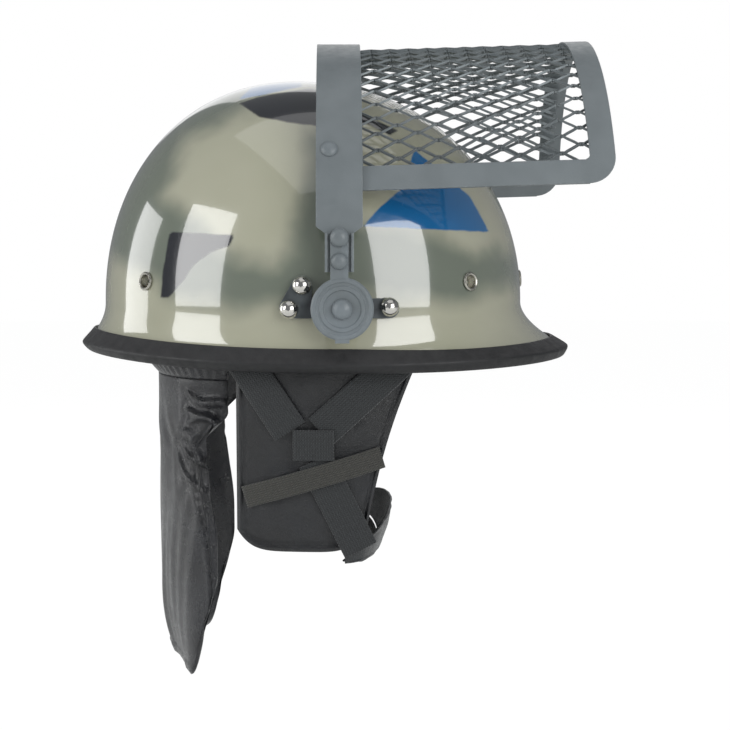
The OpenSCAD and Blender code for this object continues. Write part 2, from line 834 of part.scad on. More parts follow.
// A fan of the arch between its angle on the left and the same on the right
module fan(angle, r) {
    translate([0, arch_z])
        polygon(concat(
            [[0, 0]],
            [for (k = [0:8]) let (t = mix(angle, 180 - angle, k / 8)) [r * cos(t), r * sin(t)]]
        ));
}

module arch_sheet(r_out, r_in, angle) {
    intersection() {
        difference() {
            translate([0, arch_z]) circle(r_out, $fn = 128);
            translate([0, arch_z]) circle(r_in, $fn = 128);
        }
        fan(angle, 2 * r_out);
    }
}

// Rounds the frame's front corners, seen from the side
module corner_cut() {
    low = arch_z + frame_out * sin(rail_angle) - 1;
    translate([-wide / 2, frame_front - 1, low]) difference() {
        cube([wide, corner_r + 1, corner_r + 1]);
        translate([-1, corner_r + 1, corner_r + 1])
            rotate([0, 90, 0]) cylinder(r = corner_r, h = wide + 2, $fn = 64);
    }
}

// The slanting inner corners between the rails and the front lip
module gussets() {
    low = arch_z + frame_out * sin(window_angle) - 2;
    intersection() {
        forward(frame_back, frame_length) arch_sheet(frame_out, frame_in, rail_angle);
        translate([0, frame_front + lip_w, low]) rotate([90, 0, 90]) linear_extrude(wide, center = true)
            polygon([[-1, -1], [gusset, -1], [-1, gusset + 2]]);
    }
}

module visor_frame() {
    color("#6f7678")
    sloped() difference() {
        union() {
            difference() {
                forward(frame_back, frame_length) arch_sheet(frame_out, frame_in, rail_angle);
                forward(band_y - band_w / 2 + 2, frame_length - lip_w - band_w)
                    fan(window_angle, 2 * frame_out);
            }
            gussets();
        }
        corner_cut();
        unsloped() at_frame_rivets() cylinder(d = rivet_hole, h = clear, center = true, $fn = 24);
    }
}

module unsloped() {
    translate([0, band_y, band_top]) rotate([frame_slope, 0, 0]) translate([0, -band_y, -band_top]) children();
}

// Rivets that hold the frame inside the band, by their angle round the arch
frame_rivet_angles = [27, 153];

module at_frame_rivets() {
    for (t = frame_rivet_angles)
        translate([0, band_y + 5.5, arch_z]) rotate([0, 90 - t, 0]) translate([0, 0, band_half_out]) children();
}

module frame_rivets() {
    color("#70787c")
    at_frame_rivets()
        rivet(frame_rivet_d, frame_rivet_h, rivet_shank, band_wall + frame_gap + frame_wall + rivet_tail + 0.1);
}

mesh_out = frame_in - 0.15;
mesh_in = mesh_out - mesh_wall;
mesh_under = 9.5;                        // how far the mesh reaches under the frame behind
lip_under = 6;                           // and under its lip and rails
mesh_back = band_y - band_w / 2 + mesh_under;
mesh_front = frame_front + lip_w - lip_under;
mesh_length = mesh_back - mesh_front;
mesh_angle = window_angle - lip_under / mesh_out * 180 / PI;
mesh_step = mesh_short / 2 / mesh_out * 180 / PI;
mesh_rows = floor((90 - window_angle) / mesh_step);
open_part = 1 - mesh_strand / (mesh_long / 2 * sin(atan(mesh_short / mesh_long))) / 2;
mesh_mid = (mesh_back + mesh_front) / 2;
mesh_half = (mesh_length - mesh_long * open_part) / 2 - 1.5;

module mesh_hole(row, y) {
    translate([0, y, arch_z]) rotate([0, row * mesh_step, 0]) translate([0, 0, mesh_in - 2])
        linear_extrude(mesh_wall + 4)
            polygon([
                [mesh_short / 2 * open_part, 0], [0, mesh_long / 2 * open_part],
                [-mesh_short / 2 * open_part, 0], [0, -mesh_long / 2 * open_part]
            ]);
}

module visor_mesh() {
    color("#7b8285")
    sloped() difference() {
        forward(mesh_back, mesh_length) arch_sheet(mesh_out, mesh_in, mesh_angle);
        for (row = [-mesh_rows:mesh_rows]) {
            shift = row % 2 == 0 ? 0 : mesh_long / 2;
            for (k = [-8:8])
                if (abs(k * mesh_long + shift) <= mesh_half) mesh_hole(row, mesh_mid + k * mesh_long + shift);
        }
    }
}

// ---- neck guard ----
guard_top = 42;            // how far its upper edge lies below the pivots
guard_mid_y = 43;          // the centre of its outline
guard_cols = 34;
guard_rows = 13;
guard_edge = 7;            // angle where its outline starts
hem_edge = 27;             // angle where the hem's outline starts, under the liner
hem_top = liner_drop + seat_gap;
flap_inset = liner_inset + 3;        // how far inside the body the hem and the flaps hang

// Folds that deepen downwards, and the lower edge that turns in
function guard_swell(a, v) = guard_fold * v * sin(6 * (a - 90) + 90) - 9 * pow(v, 9) * pow(sin(a), 2);
function guard_outline(a, v, inset) = let (
    r = guard_swell(a, v) - guard_fold * v - inset
) [(guard_half_w + r) * cos(a), guard_mid_y + (guard_rear - guard_mid_y + r) * sin(a)];
function guard_low(e) = guard_bottom - 40 * pow(max(0, (e - 0.7) / 0.3), 2.5);

function guard_grid(inset) = [for (r = [0:guard_rows]) [for (c = [0:guard_cols]) let (
    v = r / guard_rows,
    u = c / guard_cols,
    a = mix(guard_edge, 180 - guard_edge, u),
    p = guard_outline(a, v, inset)
) [p.x, p.y, -mix(guard_top, guard_low(abs(2 * u - 1)), v)]]];

module neck_guard() {
    color("#2a2b30")
    sheet(guard_grid(0), guard_grid(guard_wall));
}

// The hem joins the liner's lower edge to the neck guard
function hem_grid(inset) = [for (r = [0:3]) [for (c = [0:guard_cols]) let (
    v = r / 3,
    u = c / guard_cols,
    a = mix(guard_edge, 180 - guard_edge, u),
    top = outline(
        mix(hem_edge, 180 - hem_edge, u),
        body_half_w - flap_inset - inset, body_front, body_rear - flap_inset - inset
    ),
    low = guard_outline(a, 0, inset),
    p = mix(top, low, v)
) [p.x, p.y, -mix(hem_top, guard_top - seat_gap, v)]]];

module neck_hem() {
    color("#232428")
    sheet(hem_grid(0), hem_grid(guard_wall));
}

// ---- ear flaps ----
flap_lean = 7;              // how far a flap leans in at its lower edge
flap_rear_y = 44;
flap_bow = 4.5;             // how far its front edge bows back between its ends
flap_top_front = -66;
flap_low_front = -30;
flap_round = 18;            // how far a flap's lower corners are rounded off
flap_cols = 16;
flap_rows = 12;

// Distance from the middle to a flap's outer face, at a place y and a depth below the pivots
function flap_x(y, depth) = side_x(y, flap_inset) - flap_lean * (depth - hem_top) / (flap_bottom - hem_top);

function flap_point(s, v, outer) = let (
    y = mix(mix(flap_top_front, flap_low_front, v) + flap_bow * sin(180 * v), flap_rear_y, s),
    low = flap_bottom - flap_round * pow(abs(2 * s - 1.03), 2.5),
    depth = mix(hem_top, low, v),
    pad = 2.5 + (flap_wall - 2.5) * pow(max(0, sin(180 * s) * sin(180 * v)), 0.5)
) [-flap_x(y, depth) + (outer ? 0 : pad), y, -depth];

module ear_flap() {
    color("#232529")
    sheet(
        [for (r = [0:flap_rows]) [for (c = [0:flap_cols]) flap_point(c / flap_cols, r / flap_rows, false)]],
        [for (r = [0:flap_rows]) [for (c = [0:flap_cols]) flap_point(c / flap_cols, r / flap_rows, true)]]
    );
}

module ear_flap_right() {
    ear_flap();
}

module ear_flap_left() {
    mirror([1, 0, 0]) ear_flap();
}

// ---- straps ----
// Each runs over a flap's outer face between two places, given as [y, depth below the pivots]
strap_off = 0.7;           // how far the straps lie off the flaps' outer faces
rear_top = [46, 20];
front_top = [-58, 20];
slider_place = [0.5, 76.6];
slider_h = 17;
slider_w = 23;
chin_place = [-26, 136];
elastic_rear = [39.5, 107];
elastic_front = [-38, 83.5];

// A flat strap from p to q, a little off the flap, raised between its ends by bump and at q by rise
module strap(p, q, w, off, bump, rise) {
    steps = 10;
    d = (q - p) / norm(q - p);
    n = [-d.y, d.x] * w / 2;
    tube_skin([for (k = [0:steps]) let (
        t = k / steps,
        m = mix(p, q, t),
        h = off + bump * min(1, 3 * min(t, 1 - t)) + rise * max(0, min(1, 4 * t - 2.4)),
        a = m + n,
        b = m - n
    ) [
        [-flap_x(a.x, a.y) - h, a.x, -a.y],
        [-flap_x(b.x, b.y) - h, b.x, -b.y],
        [-flap_x(b.x, b.y) - h - strap_wall, b.x, -b.y],
        [-flap_x(a.x, a.y) - h - strap_wall, a.x, -a.y]
    ]]);
}

module front_strap_right() {
    color("#34383a")
    strap(front_top, slider_place + [-4, -slider_h / 2 + 1], strap_w, strap_off, 0, 0);
}

module rear_strap_right() {
    color("#34383a")
    strap(rear_top, slider_place + [13, -slider_h / 2 + 1], strap_w, strap_off, 0, 0);
}

module elastic_strap_right() {
    color("#3c403f")
    strap(elastic_rear, elastic_front, elastic_w, strap_off, strap_wall + 2 * seat_gap, 0);
}

module strap_slider_right() {
    over = strap_off + strap_wall + seat_gap;
    color("#1d1f21")
    strap(slider_place + [0, -slider_h / 2], slider_place + [0, slider_h / 2], slider_w, over, 0, 0);
}

module chin_strap_right() {
    color("#34383a")
    strap(slider_place + [-1, slider_h / 2], chin_place, chin_strap_w, strap_off, 0, cup_wall + seat_gap);
}

module front_strap_left() {
    mirror([1, 0, 0]) front_strap_right();
}

module rear_strap_left() {
    mirror([1, 0, 0]) rear_strap_right();
}

module elastic_strap_left() {
    mirror([1, 0, 0]) elastic_strap_right();
}

module strap_slider_left() {
    mirror([1, 0, 0]) strap_slider_right();
}

module chin_strap_left() {
    mirror([1, 0, 0]) chin_strap_right();
}

// ---- chin cup ----
cup_wall = 2;
cup_cols = 24;
cup_rows = 5;
cup_end = 82;               // angle of its ends, where 0 is the middle in front
cup_end_y = -17;
cup_fwd = 30;               // how far its middle lies in front of its ends
cup_rise = 15;              // how far its rim rises to the middle
cup_h = 22;                 // height of its wall at the middle
cup_tab = 7;                // height of its wall at its ends
cup_half_w = flap_x(chin_place.x, chin_place.y) + strap_off + cup_wall;

// A point of the cup: q is the angle from its middle, v runs down its wall
function cup_point(q, v, inset) = let (
    c = cos(q * 90 / cup_end),
    draw_in = 7 * c * v * v + inset
) [
    -(cup_half_w - draw_in) * sin(q) / sin(cup_end),
    cup_end_y - (cup_fwd - draw_in) * pow(max(0, c), 0.8),
    -(chin_place.y + 1 - cup_rise * c) - (cup_tab + (cup_h - cup_tab) * c) * v
];

function cup_grid(inset) = [for (r = [0:cup_rows]) [for (k = [0:cup_cols])
    cup_point(mix(-cup_end, cup_end, k / cup_cols), r / cup_rows, inset)
]];

module chin_cup() {
    color("#3d4244")
    sheet(cup_grid(cup_wall), cup_grid(0));
}

under_end = 62;             // angle where the webbing under the cup ends

// Webbing that runs under the cup from side to side
function under_point(q, across, off) = let (p = cup_point(q, 1, 0)) [
    p.x * 0.98, p.y + 2 + across * (8 + 8 * cos(q)), p.z - seat_gap - off
];
function under_grid(off) = [for (r = [0:2]) [for (k = [0:cup_cols])
    under_point(mix(-under_end, under_end, k / cup_cols), r / 2, off)
]];

module chin_cup_strap() {
    color("#2c2f30")
    sheet(under_grid(0), under_grid(strap_wall));
}

shell();
edge_trim();
vent_eyelets();
impact_liner();
crown_pad();
crown_straps();
headband();
sweatband();
headband_clips();
mounting_plate_right();
mounting_plate_left();
plate_bolts();
dome_nuts();
pivot_spacers();
pivot_bolts();
visor_arm_right();
visor_arm_left();
arm_rivets();
visor_band();
visor_frame();
frame_rivets();
visor_mesh();
neck_hem();
neck_guard();
ear_flap_right();
ear_flap_left();
front_strap_right();
front_strap_left();
rear_strap_right();
rear_strap_left();
elastic_strap_right();
elastic_strap_left();
strap_slider_right();
strap_slider_left();
chin_strap_right();
chin_strap_left();
chin_cup();
chin_cup_strap();
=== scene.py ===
"""A camouflage riot helmet with a raised mesh visor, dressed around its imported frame."""

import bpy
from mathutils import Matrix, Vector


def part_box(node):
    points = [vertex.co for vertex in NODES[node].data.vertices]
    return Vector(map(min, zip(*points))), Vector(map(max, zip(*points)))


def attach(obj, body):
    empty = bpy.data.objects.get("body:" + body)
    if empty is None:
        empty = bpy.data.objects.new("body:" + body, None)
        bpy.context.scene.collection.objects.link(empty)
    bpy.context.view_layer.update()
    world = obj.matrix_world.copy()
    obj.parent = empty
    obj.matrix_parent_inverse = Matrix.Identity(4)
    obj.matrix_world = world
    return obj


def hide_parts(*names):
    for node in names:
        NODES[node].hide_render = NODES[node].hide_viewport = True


bl_info = {
    "name": "Camouflage Riot Helmet",
    "version": (1, 0, 0),
    "blender": (4, 5, 0),
    "location": "View3D > Sidebar > Helmet",
    "description": "Builds the helmet's enamel, mesh, rubber, webbing and leatherette around its frame",
    "category": "Object",
}

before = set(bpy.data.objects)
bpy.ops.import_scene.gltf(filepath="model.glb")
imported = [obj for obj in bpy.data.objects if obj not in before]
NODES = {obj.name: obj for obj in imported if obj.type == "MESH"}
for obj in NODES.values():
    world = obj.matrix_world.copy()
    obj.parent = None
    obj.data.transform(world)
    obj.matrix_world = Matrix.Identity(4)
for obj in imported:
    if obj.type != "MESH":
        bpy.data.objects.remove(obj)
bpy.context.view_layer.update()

import math

import bpy
import numpy as np
from mathutils import Vector

MM = 0.001

# ---- the shell's shape, in millimetres, as the frame has it ----
ROUNDNESS = 2.1
PIVOT_Y = -15.5
BODY = (115.0, 125.5, 128.5)  # half width, front and rear of the body
BRIM = (122.5, 152.4, 140.4)  # the same at the brim's edge
CROWN_H = 133.6
CROWN_BACK = 12.5  # how far the crown stands behind the head's centre
WALL = 2.6
DROP_FRONT, DROP_SIDE, DROP_REAR = 26.5, 30.5, 23.0
FLARE_FRONT, FLARE_SIDE, FLARE_REAR = 1.8, 4.0, 2.0
VENT_Z = 14.0
VENT_R = 4.5
VENT_YS = (BODY[2] - 32.5, 37.8 - BODY[1])  # rear and front of the vent holes in each side
BAND_TOP = 156.0
BAND_Y = PIVOT_Y + 1.5
LINER_DROP = 12.0
HEM_TOP = LINER_DROP + 0.3
INSIDE = 6.1  # from the body's outline to the outer face of what hangs inside the shell
TINY = 1e-9  # keeps a power or a division away from zero


# ---- numbers and curves ----
def mix(a, b, t):
    """The value that lies the part t of the way from a to b."""
    return a + (b - a) * t


def signed_pow(v, p):
    """v to the power p, with v's sign kept."""
    return np.sign(v) * np.abs(v) ** p


def smooth(v, low, high):
    """0 below low, 1 above high, and an S-shaped rise of 3t^2 - 2t^3 between."""
    t = np.clip((v - low) / (high - low), 0, 1)
    return t * t * (3 - 2 * t)


def bump(v, centre, width):
    """A bell of height 1 and half width `width` round centre: exp(-((v - centre) / width)^2)."""
    return np.exp(-(((v - centre) / width) ** 2))


def waves(x, y, seed, count, shortest, longest):
    """A smooth random field between about -1 and 1: the mean of `count` sine waves
    in random directions, with wavelengths from shortest to longest."""
    rng = np.random.default_rng(seed)
    total = np.zeros(np.broadcast(x, y).shape)
    for _ in range(count):
        turn, phase = rng.uniform(0, 2 * np.pi, 2)
        k = 2 * np.pi / rng.uniform(shortest, longest)
        total = total + np.sin(k * (x * np.cos(turn) + y * np.sin(turn)) + phase)
    return total / math.sqrt(count / 2) / 2


def outline(a, half_w, front, rear):
    """A superellipse of the shell's roundness, widest level with the pivots:
    x is the half width times cos(a), and y the front or rear length times sin(a),
    each to the power 2 / roundness. Angle 0 is the left side and 90 degrees behind."""
    s, c = np.sin(a), np.cos(a)
    half_l = np.where(s < 0, front + PIVOT_Y, rear - PIVOT_Y)
    return half_w * signed_pow(c, 2 / ROUNDNESS), PIVOT_Y + half_l * signed_pow(s, 2 / ROUNDNESS)


def dome(a, tilt, inset):
    """The body above the pivots: the outline shrinks about the crown by cos(tilt), and
    the height grows with sin(tilt), each to the power 2 / roundness."""
    k = np.cos(tilt) ** (2 / ROUNDNESS)
    x, y = outline(a, *(v - inset for v in BODY))
    z = (CROWN_H - inset) * np.sin(tilt) ** (2 / ROUNDNESS)
    return np.stack(np.broadcast_arrays(x * k, CROWN_BACK + (y - CROWN_BACK) * k, z), -1)


def brim_drop(a):
    """How far the brim's edge lies below the pivots: front or rear drop, and the side's by cos(a)^2."""
    return mix(np.where(np.sin(a) < 0, DROP_FRONT, DROP_REAR), DROP_SIDE, np.cos(a) ** 2)


def flare(a, u, along, off):
    """The brim: at u the outline is mixed from the body's to the edge's by u to a power,
    while the height falls evenly; the point is then moved down the flare and square off it."""
    p = mix(np.where(np.sin(a) < 0, FLARE_FRONT, FLARE_REAR), FLARE_SIDE, np.cos(a) ** 2)
    tx, ty = outline(a, *BODY)
    ex, ey = outline(a, *BRIM)
    t = np.maximum(u, TINY) ** p
    reach, drop = np.hypot(ex - tx, ey - ty), brim_drop(a)
    dx, dz = reach * p * np.maximum(u, TINY) ** (p - 1), -drop
    size = np.hypot(dx, dz)
    dx, dz = dx / size, dz / size
    half_l = np.where(np.sin(a) < 0, BODY[1] + PIVOT_Y, BODY[2] - PIVOT_Y)
    q = 2 - 2 / ROUNDNESS
    nx, ny = signed_pow(np.cos(a), q) / BODY[0], signed_pow(np.sin(a), q) / half_l
    size = np.hypot(nx, ny)
    out, up = along * dx - off * dz, along * dz + off * dx
    return np.stack(np.broadcast_arrays(
        mix(tx, ex, t) + nx / size * out, mix(ty, ey, t) + ny / size * out, -drop * u + up), -1)


def on_brim(a, along, off):
    """A point by its distance along the flare from the brim's edge, outwards positive, and off it."""
    slope = flare(a, 1.0, 1.0, 0.0) - flare(a, 1.0, 0.0, 0.0)
    u = 1 - np.maximum(0, -along) * -slope[..., 2] / brim_drop(a)
    return flare(a, u, np.maximum(0, along), off)


def side_x(y, inset):
    """Half width of the body's outline, drawn in by inset, at a distance y behind the head's centre."""
    half_l = np.where(y < PIVOT_Y, BODY[1] + PIVOT_Y, BODY[2] - PIVOT_Y) - inset
    part = np.minimum(1, np.abs(y - PIVOT_Y) / half_l)
    return (BODY[0] - inset) * (1 - part**ROUNDNESS) ** (1 / ROUNDNESS)


def shell_x(y, z):
    """Half width of the shell at a place y and a height z: the outline scaled about the crown."""
    k = (1 - (z / CROWN_H) ** ROUNDNESS) ** (1 / ROUNDNESS)
    return side_x(CROWN_BACK + (y - CROWN_BACK) / k, 0) * k


def arc_lengths(points):
    """Distances along a line of points, from its first."""
    steps = np.linalg.norm(np.diff(points, axis=0), axis=1)
    return np.concatenate([[0], np.cumsum(steps)])


# ---- meshes ----
def grid_faces(rows, cols, ring=False, loop=False):
    """Quads between neighbours on a grid of vertices numbered row by row."""
    r = np.arange(rows if loop else rows - 1)[:, None]
    c = np.arange(cols if ring else cols - 1)[None, :]
    r1, c1 = (r + 1) % rows, (c + 1) % cols
    corners = np.broadcast_arrays(r * cols + c, r * cols + c1, r1 * cols + c1, r1 * cols + c)
    return np.stack(corners, -1).reshape(-1, 4)


def volume(points, faces):
    """Signed volume inside closed faces, each split from its first corner."""
    total = 0.0
    for i in range(1, faces.shape[1] - 1):
        a, b, c = (points[faces[:, k]] for k in (0, i, i + 1))
        total += np.einsum("ij,ij->i", a, np.cross(b, c)).sum() / 6
    return total


def make(name, points, faces, uv=None, flat=False):
    """A mesh object from points in millimetres and lists of faces, turned so that its faces point out."""
    whole = sum(volume(points, f) for f in faces)
    polygons = [p for f in faces for p in (f[:, ::-1] if whole < 0 else f).tolist()]
    mesh = bpy.data.meshes.new(name)
    mesh.from_pydata((points * MM).tolist(), [], polygons)
    if uv is not None:
        corners = np.empty(len(mesh.loops), np.int32)
        mesh.loops.foreach_get("vertex_index", corners)
        mesh.uv_layers.new(name="UVMap").data.foreach_set("uv", (uv * MM)[corners].ravel())
    mesh.polygons.foreach_set("use_smooth", np.full(len(mesh.polygons), not flat))
    mesh.update()
    piece = bpy.data.objects.new(name, mesh)
    bpy.context.scene.collection.objects.link(piece)
    return piece


def ring_piece(name, rows):
    """A solid whose rows of points close up both round each row and from the last row to the first."""
    m, n = rows.shape[:2]
    return make(name, rows.reshape(-1, 3), [grid_faces(m, n, ring=True, loop=True)])


def capped_piece(name, rows, uv=None):
    """A solid through rings of points, with its first and last ring filled by fans about their middles."""
    m, n = rows.shape[:2]
    points = np.concatenate([rows.reshape(-1, 3), rows[:1].mean(1), rows[-1:].mean(1)])
    i = np.arange(n)
    j = (i + 1) % n
    first = np.stack([np.full(n, m * n), j, i], -1)
    last = np.stack([np.full(n, m * n + 1), (m - 1) * n + i, (m - 1) * n + j], -1)
    if uv is not None:
        uv = np.concatenate([uv.reshape(-1, 2), uv[:1].mean(1), uv[-1:].mean(1)])
    return make(name, points, [grid_faces(m, n, ring=True), first, last], uv)


def slab_faces(m, n):
    """Faces of a sheet with an outer and an inner grid of m by n points, joined round the edge."""
    outer, inner = grid_faces(m, n), grid_faces(m, n)[:, ::-1] + m * n
    edge = np.concatenate([
        np.arange(n), np.arange(1, m) * n + n - 1,
        (m - 1) * n + np.arange(n - 2, -1, -1), np.arange(m - 2, 0, -1) * n])
    after = np.roll(edge, -1)
    return [outer, inner, np.stack([after, edge, edge + m * n, after + m * n], -1)]


def slab(name, outer, inner, uv=None):
    """A sheet with a thickness, between an outer and an inner grid of points."""
    m, n = outer.shape[:2]
    points = np.concatenate([outer.reshape(-1, 3), inner.reshape(-1, 3)])
    if uv is not None:
        uv = np.concatenate([uv.reshape(-1, 2)] * 2)
    return make(name, points, slab_faces(m, n), uv)


def grid_uv(grid):
    """Distances across and down a grid along its middle row and column, for a pattern in real sizes."""
    m, n = grid.shape[:2]
    across, down = arc_lengths(grid[m // 2]), arc_lengths(grid[:, n // 2])
    return np.stack(np.meshgrid(across, down), -1)


def mirrored(points):
    """The same points on the other side of the helmet."""
    return points * np.array([-1.0, 1.0, 1.0])


# ---- materials ----
def colour(code):
    """A linear colour from an sRGB hex value."""
    s = np.array([int(code[i : i + 2], 16) for i in (1, 3, 5)]) / 255
    return (*np.where(s <= 0.04045, s / 12.92, ((s + 0.055) / 1.055) ** 2.4), 1.0)


def node(tree, kind, inputs=(), **settings):
    """Adds a node. inputs are pairs of a socket's name or number and a value or another socket."""
    new = tree.nodes.new(kind)
    for key, value in settings.items():
        setattr(new, key, value)
    for key, value in dict(inputs).items():
        if isinstance(value, bpy.types.NodeSocket):
            tree.links.new(value, new.inputs[key])
        else:
            new.inputs[key].default_value = value
    return new


def material(name, base, rough, **sockets):
    """A material with a Principled shader and its own values set on the shader's sockets.
    Gives the material, its tree and its shader."""
    mat = bpy.data.materials.new(name)
    mat.use_nodes = True
    tree = mat.node_tree
    shader = tree.nodes["Principled BSDF"]
    shader.inputs["Base Color"].default_value = colour(base)
    shader.inputs["Roughness"].default_value = rough
    for key, value in sockets.items():
        shader.inputs[key.replace("_", " ")].default_value = value
    mat.diffuse_color = colour(base)
    return mat, tree, shader


def place(tree, source="Object"):
    """The coordinates that a pattern reads."""
    return node(tree, "ShaderNodeTexCoord").outputs[source]


def noise(tree, where, period, detail=2.0, rough=0.5):
    """Noise whose blots repeat about every `period` millimetres."""
    sockets = {"Vector": where, "Scale": 1 / (period * MM), "Detail": detail, "Roughness": rough}
    return node(tree, "ShaderNodeTexNoise", sockets).outputs["Fac"]


def remap(tree, value, low, high, to_low, to_high, kind="LINEAR"):
    """A value carried from one range to another, and held at its ends."""
    sockets = {"Value": value, "From Min": low, "From Max": high, "To Min": to_low, "To Max": to_high}
    return node(tree, "ShaderNodeMapRange", sockets, interpolation_type=kind).outputs[0]


def sum_of(tree, a, b, operation="ADD"):
    """The sum of two values, or their product or another combination."""
    return node(tree, "ShaderNodeMath", {0: a, 1: b}, operation=operation).outputs[0]


def blended(tree, amount, a, b, way="MIX"):
    """Two colours mixed by an amount; a plain colour is given as its hex value."""
    a, b = (colour(v) if isinstance(v, str) else v for v in (a, b))
    return node(tree, "ShaderNodeMix", {0: amount, 6: a, 7: b}, data_type="RGBA", blend_type=way).outputs[2]


def raise_by(tree, shader, height, depth, beneath=None, strength=1.0):
    """Bumps the shader by a height from 0 to 1, where 1 is `depth` millimetres."""
    sockets = {"Height": height, "Distance": depth * MM, "Strength": strength}
    if beneath is not None:
        sockets["Normal"] = beneath
    bumped = node(tree, "ShaderNodeBump", sockets).outputs[0]
    tree.links.new(bumped, shader.inputs["Normal"])
    return bumped


def rounded(tree, radius):
    """Normals with every edge rounded by a radius in millimetres."""
    return node(tree, "ShaderNodeBevel", {"Radius": radius * MM}, samples=6).outputs[0]


def camouflage_enamel(colours):
    """Gloss enamel sprayed over a moulded shell: airbrushed green-grey clouds, and black and blue
    patches masked off with sharp edges. Each patch is the distance to its edge, kept on the vertices."""
    mat, tree, shader = material("camouflage_enamel", colours.sand, 0.16, IOR=1.5,
                                 Coat_Weight=1.0, Coat_Roughness=0.03, Coat_IOR=1.8)
    where = place(tree)
    wander = remap(tree, noise(tree, where, 26), 0, 1, -7, 7)  # millimetres that a cloud's edge wanders
    ripple = remap(tree, noise(tree, where, 9), 0, 1, -0.7, 0.7)  # a masked edge is nearly true
    base = blended(tree, remap(tree, noise(tree, where, 60), 0.3, 0.7, 0, 1), colours.sand, colours.sand_light)

    def edge(patch, offset, soft):
        """How much of a patch shows: 1 inside its edge, falling to 0 over a soft width outside it."""
        far = node(tree, "ShaderNodeAttribute", attribute_name=patch).outputs["Fac"]
        return remap(tree, sum_of(tree, far, offset), -soft, soft, 1, 0, "SMOOTHSTEP")

    base = blended(tree, edge("cloud", wander, 9), base, colours.cloud)
    base = blended(tree, edge("blue", ripple, 0.7), base, colours.blue)
    base = blended(tree, edge("black", ripple, 0.8), base, colours.black)
    tree.links.new(base, shader.inputs["Base Color"])
    # Handling marks dull the gloss
    scuffs = remap(tree, noise(tree, where, 3.5, 6, 0.65), 0.62, 0.78, 0.14, 0.4)
    tree.links.new(scuffs, shader.inputs["Roughness"])
    raise_by(tree, shader, noise(tree, where, 5, 3), 0.05)  # orange peel in the sprayed coat
    return mat


def powder_coat(name, base, colours, edge_mm, metallic=0.0):
    """Grey powder coat on pressed steel: a semi-gloss skin with fine orange peel, rubbed brighter
    on its edges."""
    mat, tree, shader = material(name, base, 0.36, Metallic=metallic, IOR=1.5)
    where = place(tree)
    soft = rounded(tree, edge_mm)
    true = node(tree, "ShaderNodeNewGeometry").outputs["True Normal"]
    flatness = node(tree, "ShaderNodeVectorMath", {0: soft, 1: true}, operation="DOT_PRODUCT").outputs["Value"]
    patchy = remap(tree, noise(tree, where, 2.2, 4), 0.4, 0.6, 0, 1)
    worn = sum_of(tree, remap(tree, flatness, 0.8, 0.995, 0.75, 0), patchy, "MULTIPLY")
    tone = blended(tree, remap(tree, noise(tree, where, 22), 0.35, 0.65, 0, 1), base, colours.paint_shade)
    tree.links.new(blended(tree, worn, tone, colours.paint_worn), shader.inputs["Base Color"])
    tree.links.new(remap(tree, noise(tree, where, 4, 4), 0.3, 0.7, 0.3, 0.46), shader.inputs["Roughness"])
    raise_by(tree, shader, noise(tree, where, 1.3, 2), 0.05, soft)
    return mat


def bare_metal(name, base, rough, edge_mm, brushed=0.0):
    """Plated or bare steel: a mirror-like metal whose gloss is dulled in fine streaks and spots."""
    mat, tree, shader = material(name, base, rough, Metallic=1.0)
    where = place(tree)
    dulled = remap(tree, noise(tree, where, 1.6, 5, 0.6), 0.3, 0.7, rough * 0.7, rough * 1.5)
    tree.links.new(dulled, shader.inputs["Roughness"])
    raise_by(tree, shader, noise(tree, where, 0.8, 3), 0.01 + 0.05 * brushed, rounded(tree, edge_mm))
    return mat


def trim_rubber(colours):
    """Extruded black rubber: matt, with a fine drawn grain. Its upper lip turns grey in patches where it faces
    up: partly a real film on the rubber, partly a painted sheen of the light from above.
    """
    mat, tree, shader = material("extruded_rubber", colours.rubber, 0.52, IOR=1.52)
    where = place(tree)
    # Painted sheen: grey where the surface faces up, towards the light above, broken into patches
    facing = node(tree, "ShaderNodeNewGeometry").outputs["Normal"]
    up = node(tree, "ShaderNodeSeparateXYZ", {0: facing}).outputs[2]
    patchy = remap(tree, noise(tree, where, 7, 5), 0.25, 0.7, 0.35, 1)
    bloom_and_sheen = sum_of(tree, remap(tree, up, 0.2, 0.9, 0, 0.85), patchy, "MULTIPLY")
    tree.links.new(blended(tree, bloom_and_sheen, colours.rubber, colours.rubber_bloom_and_sheen), shader.inputs["Base Color"])
    tree.links.new(remap(tree, noise(tree, where, 5, 5), 0.3, 0.7, 0.42, 0.66), shader.inputs["Roughness"])
    raise_by(tree, shader, noise(tree, where, 0.9, 4, 0.6), 0.12)
    return mat


def leatherette(name, base, sheen_tone, rough, grain, depth):
    """Black coated cloth, embossed with a leather grain of small rounded cells and creased where it bends, with
    soft patches of a painted sheen.
    """
    mat, tree, shader = material(name, base, rough, IOR=1.5, Coat_Weight=0.25, Coat_Roughness=0.22)
    where = place(tree)
    cells = node(tree, "ShaderNodeTexVoronoi", {"Vector": where, "Scale": 1 / (grain * MM)},
                 feature="DISTANCE_TO_EDGE").outputs["Distance"]
    pebble = remap(tree, cells, 0, 0.22, 0, 1, "SMOOTHSTEP")
    creases = noise(tree, where, 7, 5, 0.6)
    # Painted sheen: large soft patches of the lighter sheen_tone stand in for light caught by the coating
    tone = blended(tree, remap(tree, noise(tree, where, 30, 3), 0.35, 0.7, 0, 1), base, sheen_tone)
    joins = blended(tree, 0.5, tone, "#050506")
    tree.links.new(blended(tree, pebble, joins, tone), shader.inputs["Base Color"])
    tree.links.new(remap(tree, creases, 0.3, 0.75, rough * 0.75, rough * 1.35), shader.inputs["Roughness"])
    first = node(tree, "ShaderNodeBump", {"Height": creases, "Distance": 0.9 * MM, "Strength": 0.6}).outputs[0]
    raise_by(tree, shader, pebble, depth, first)
    return mat


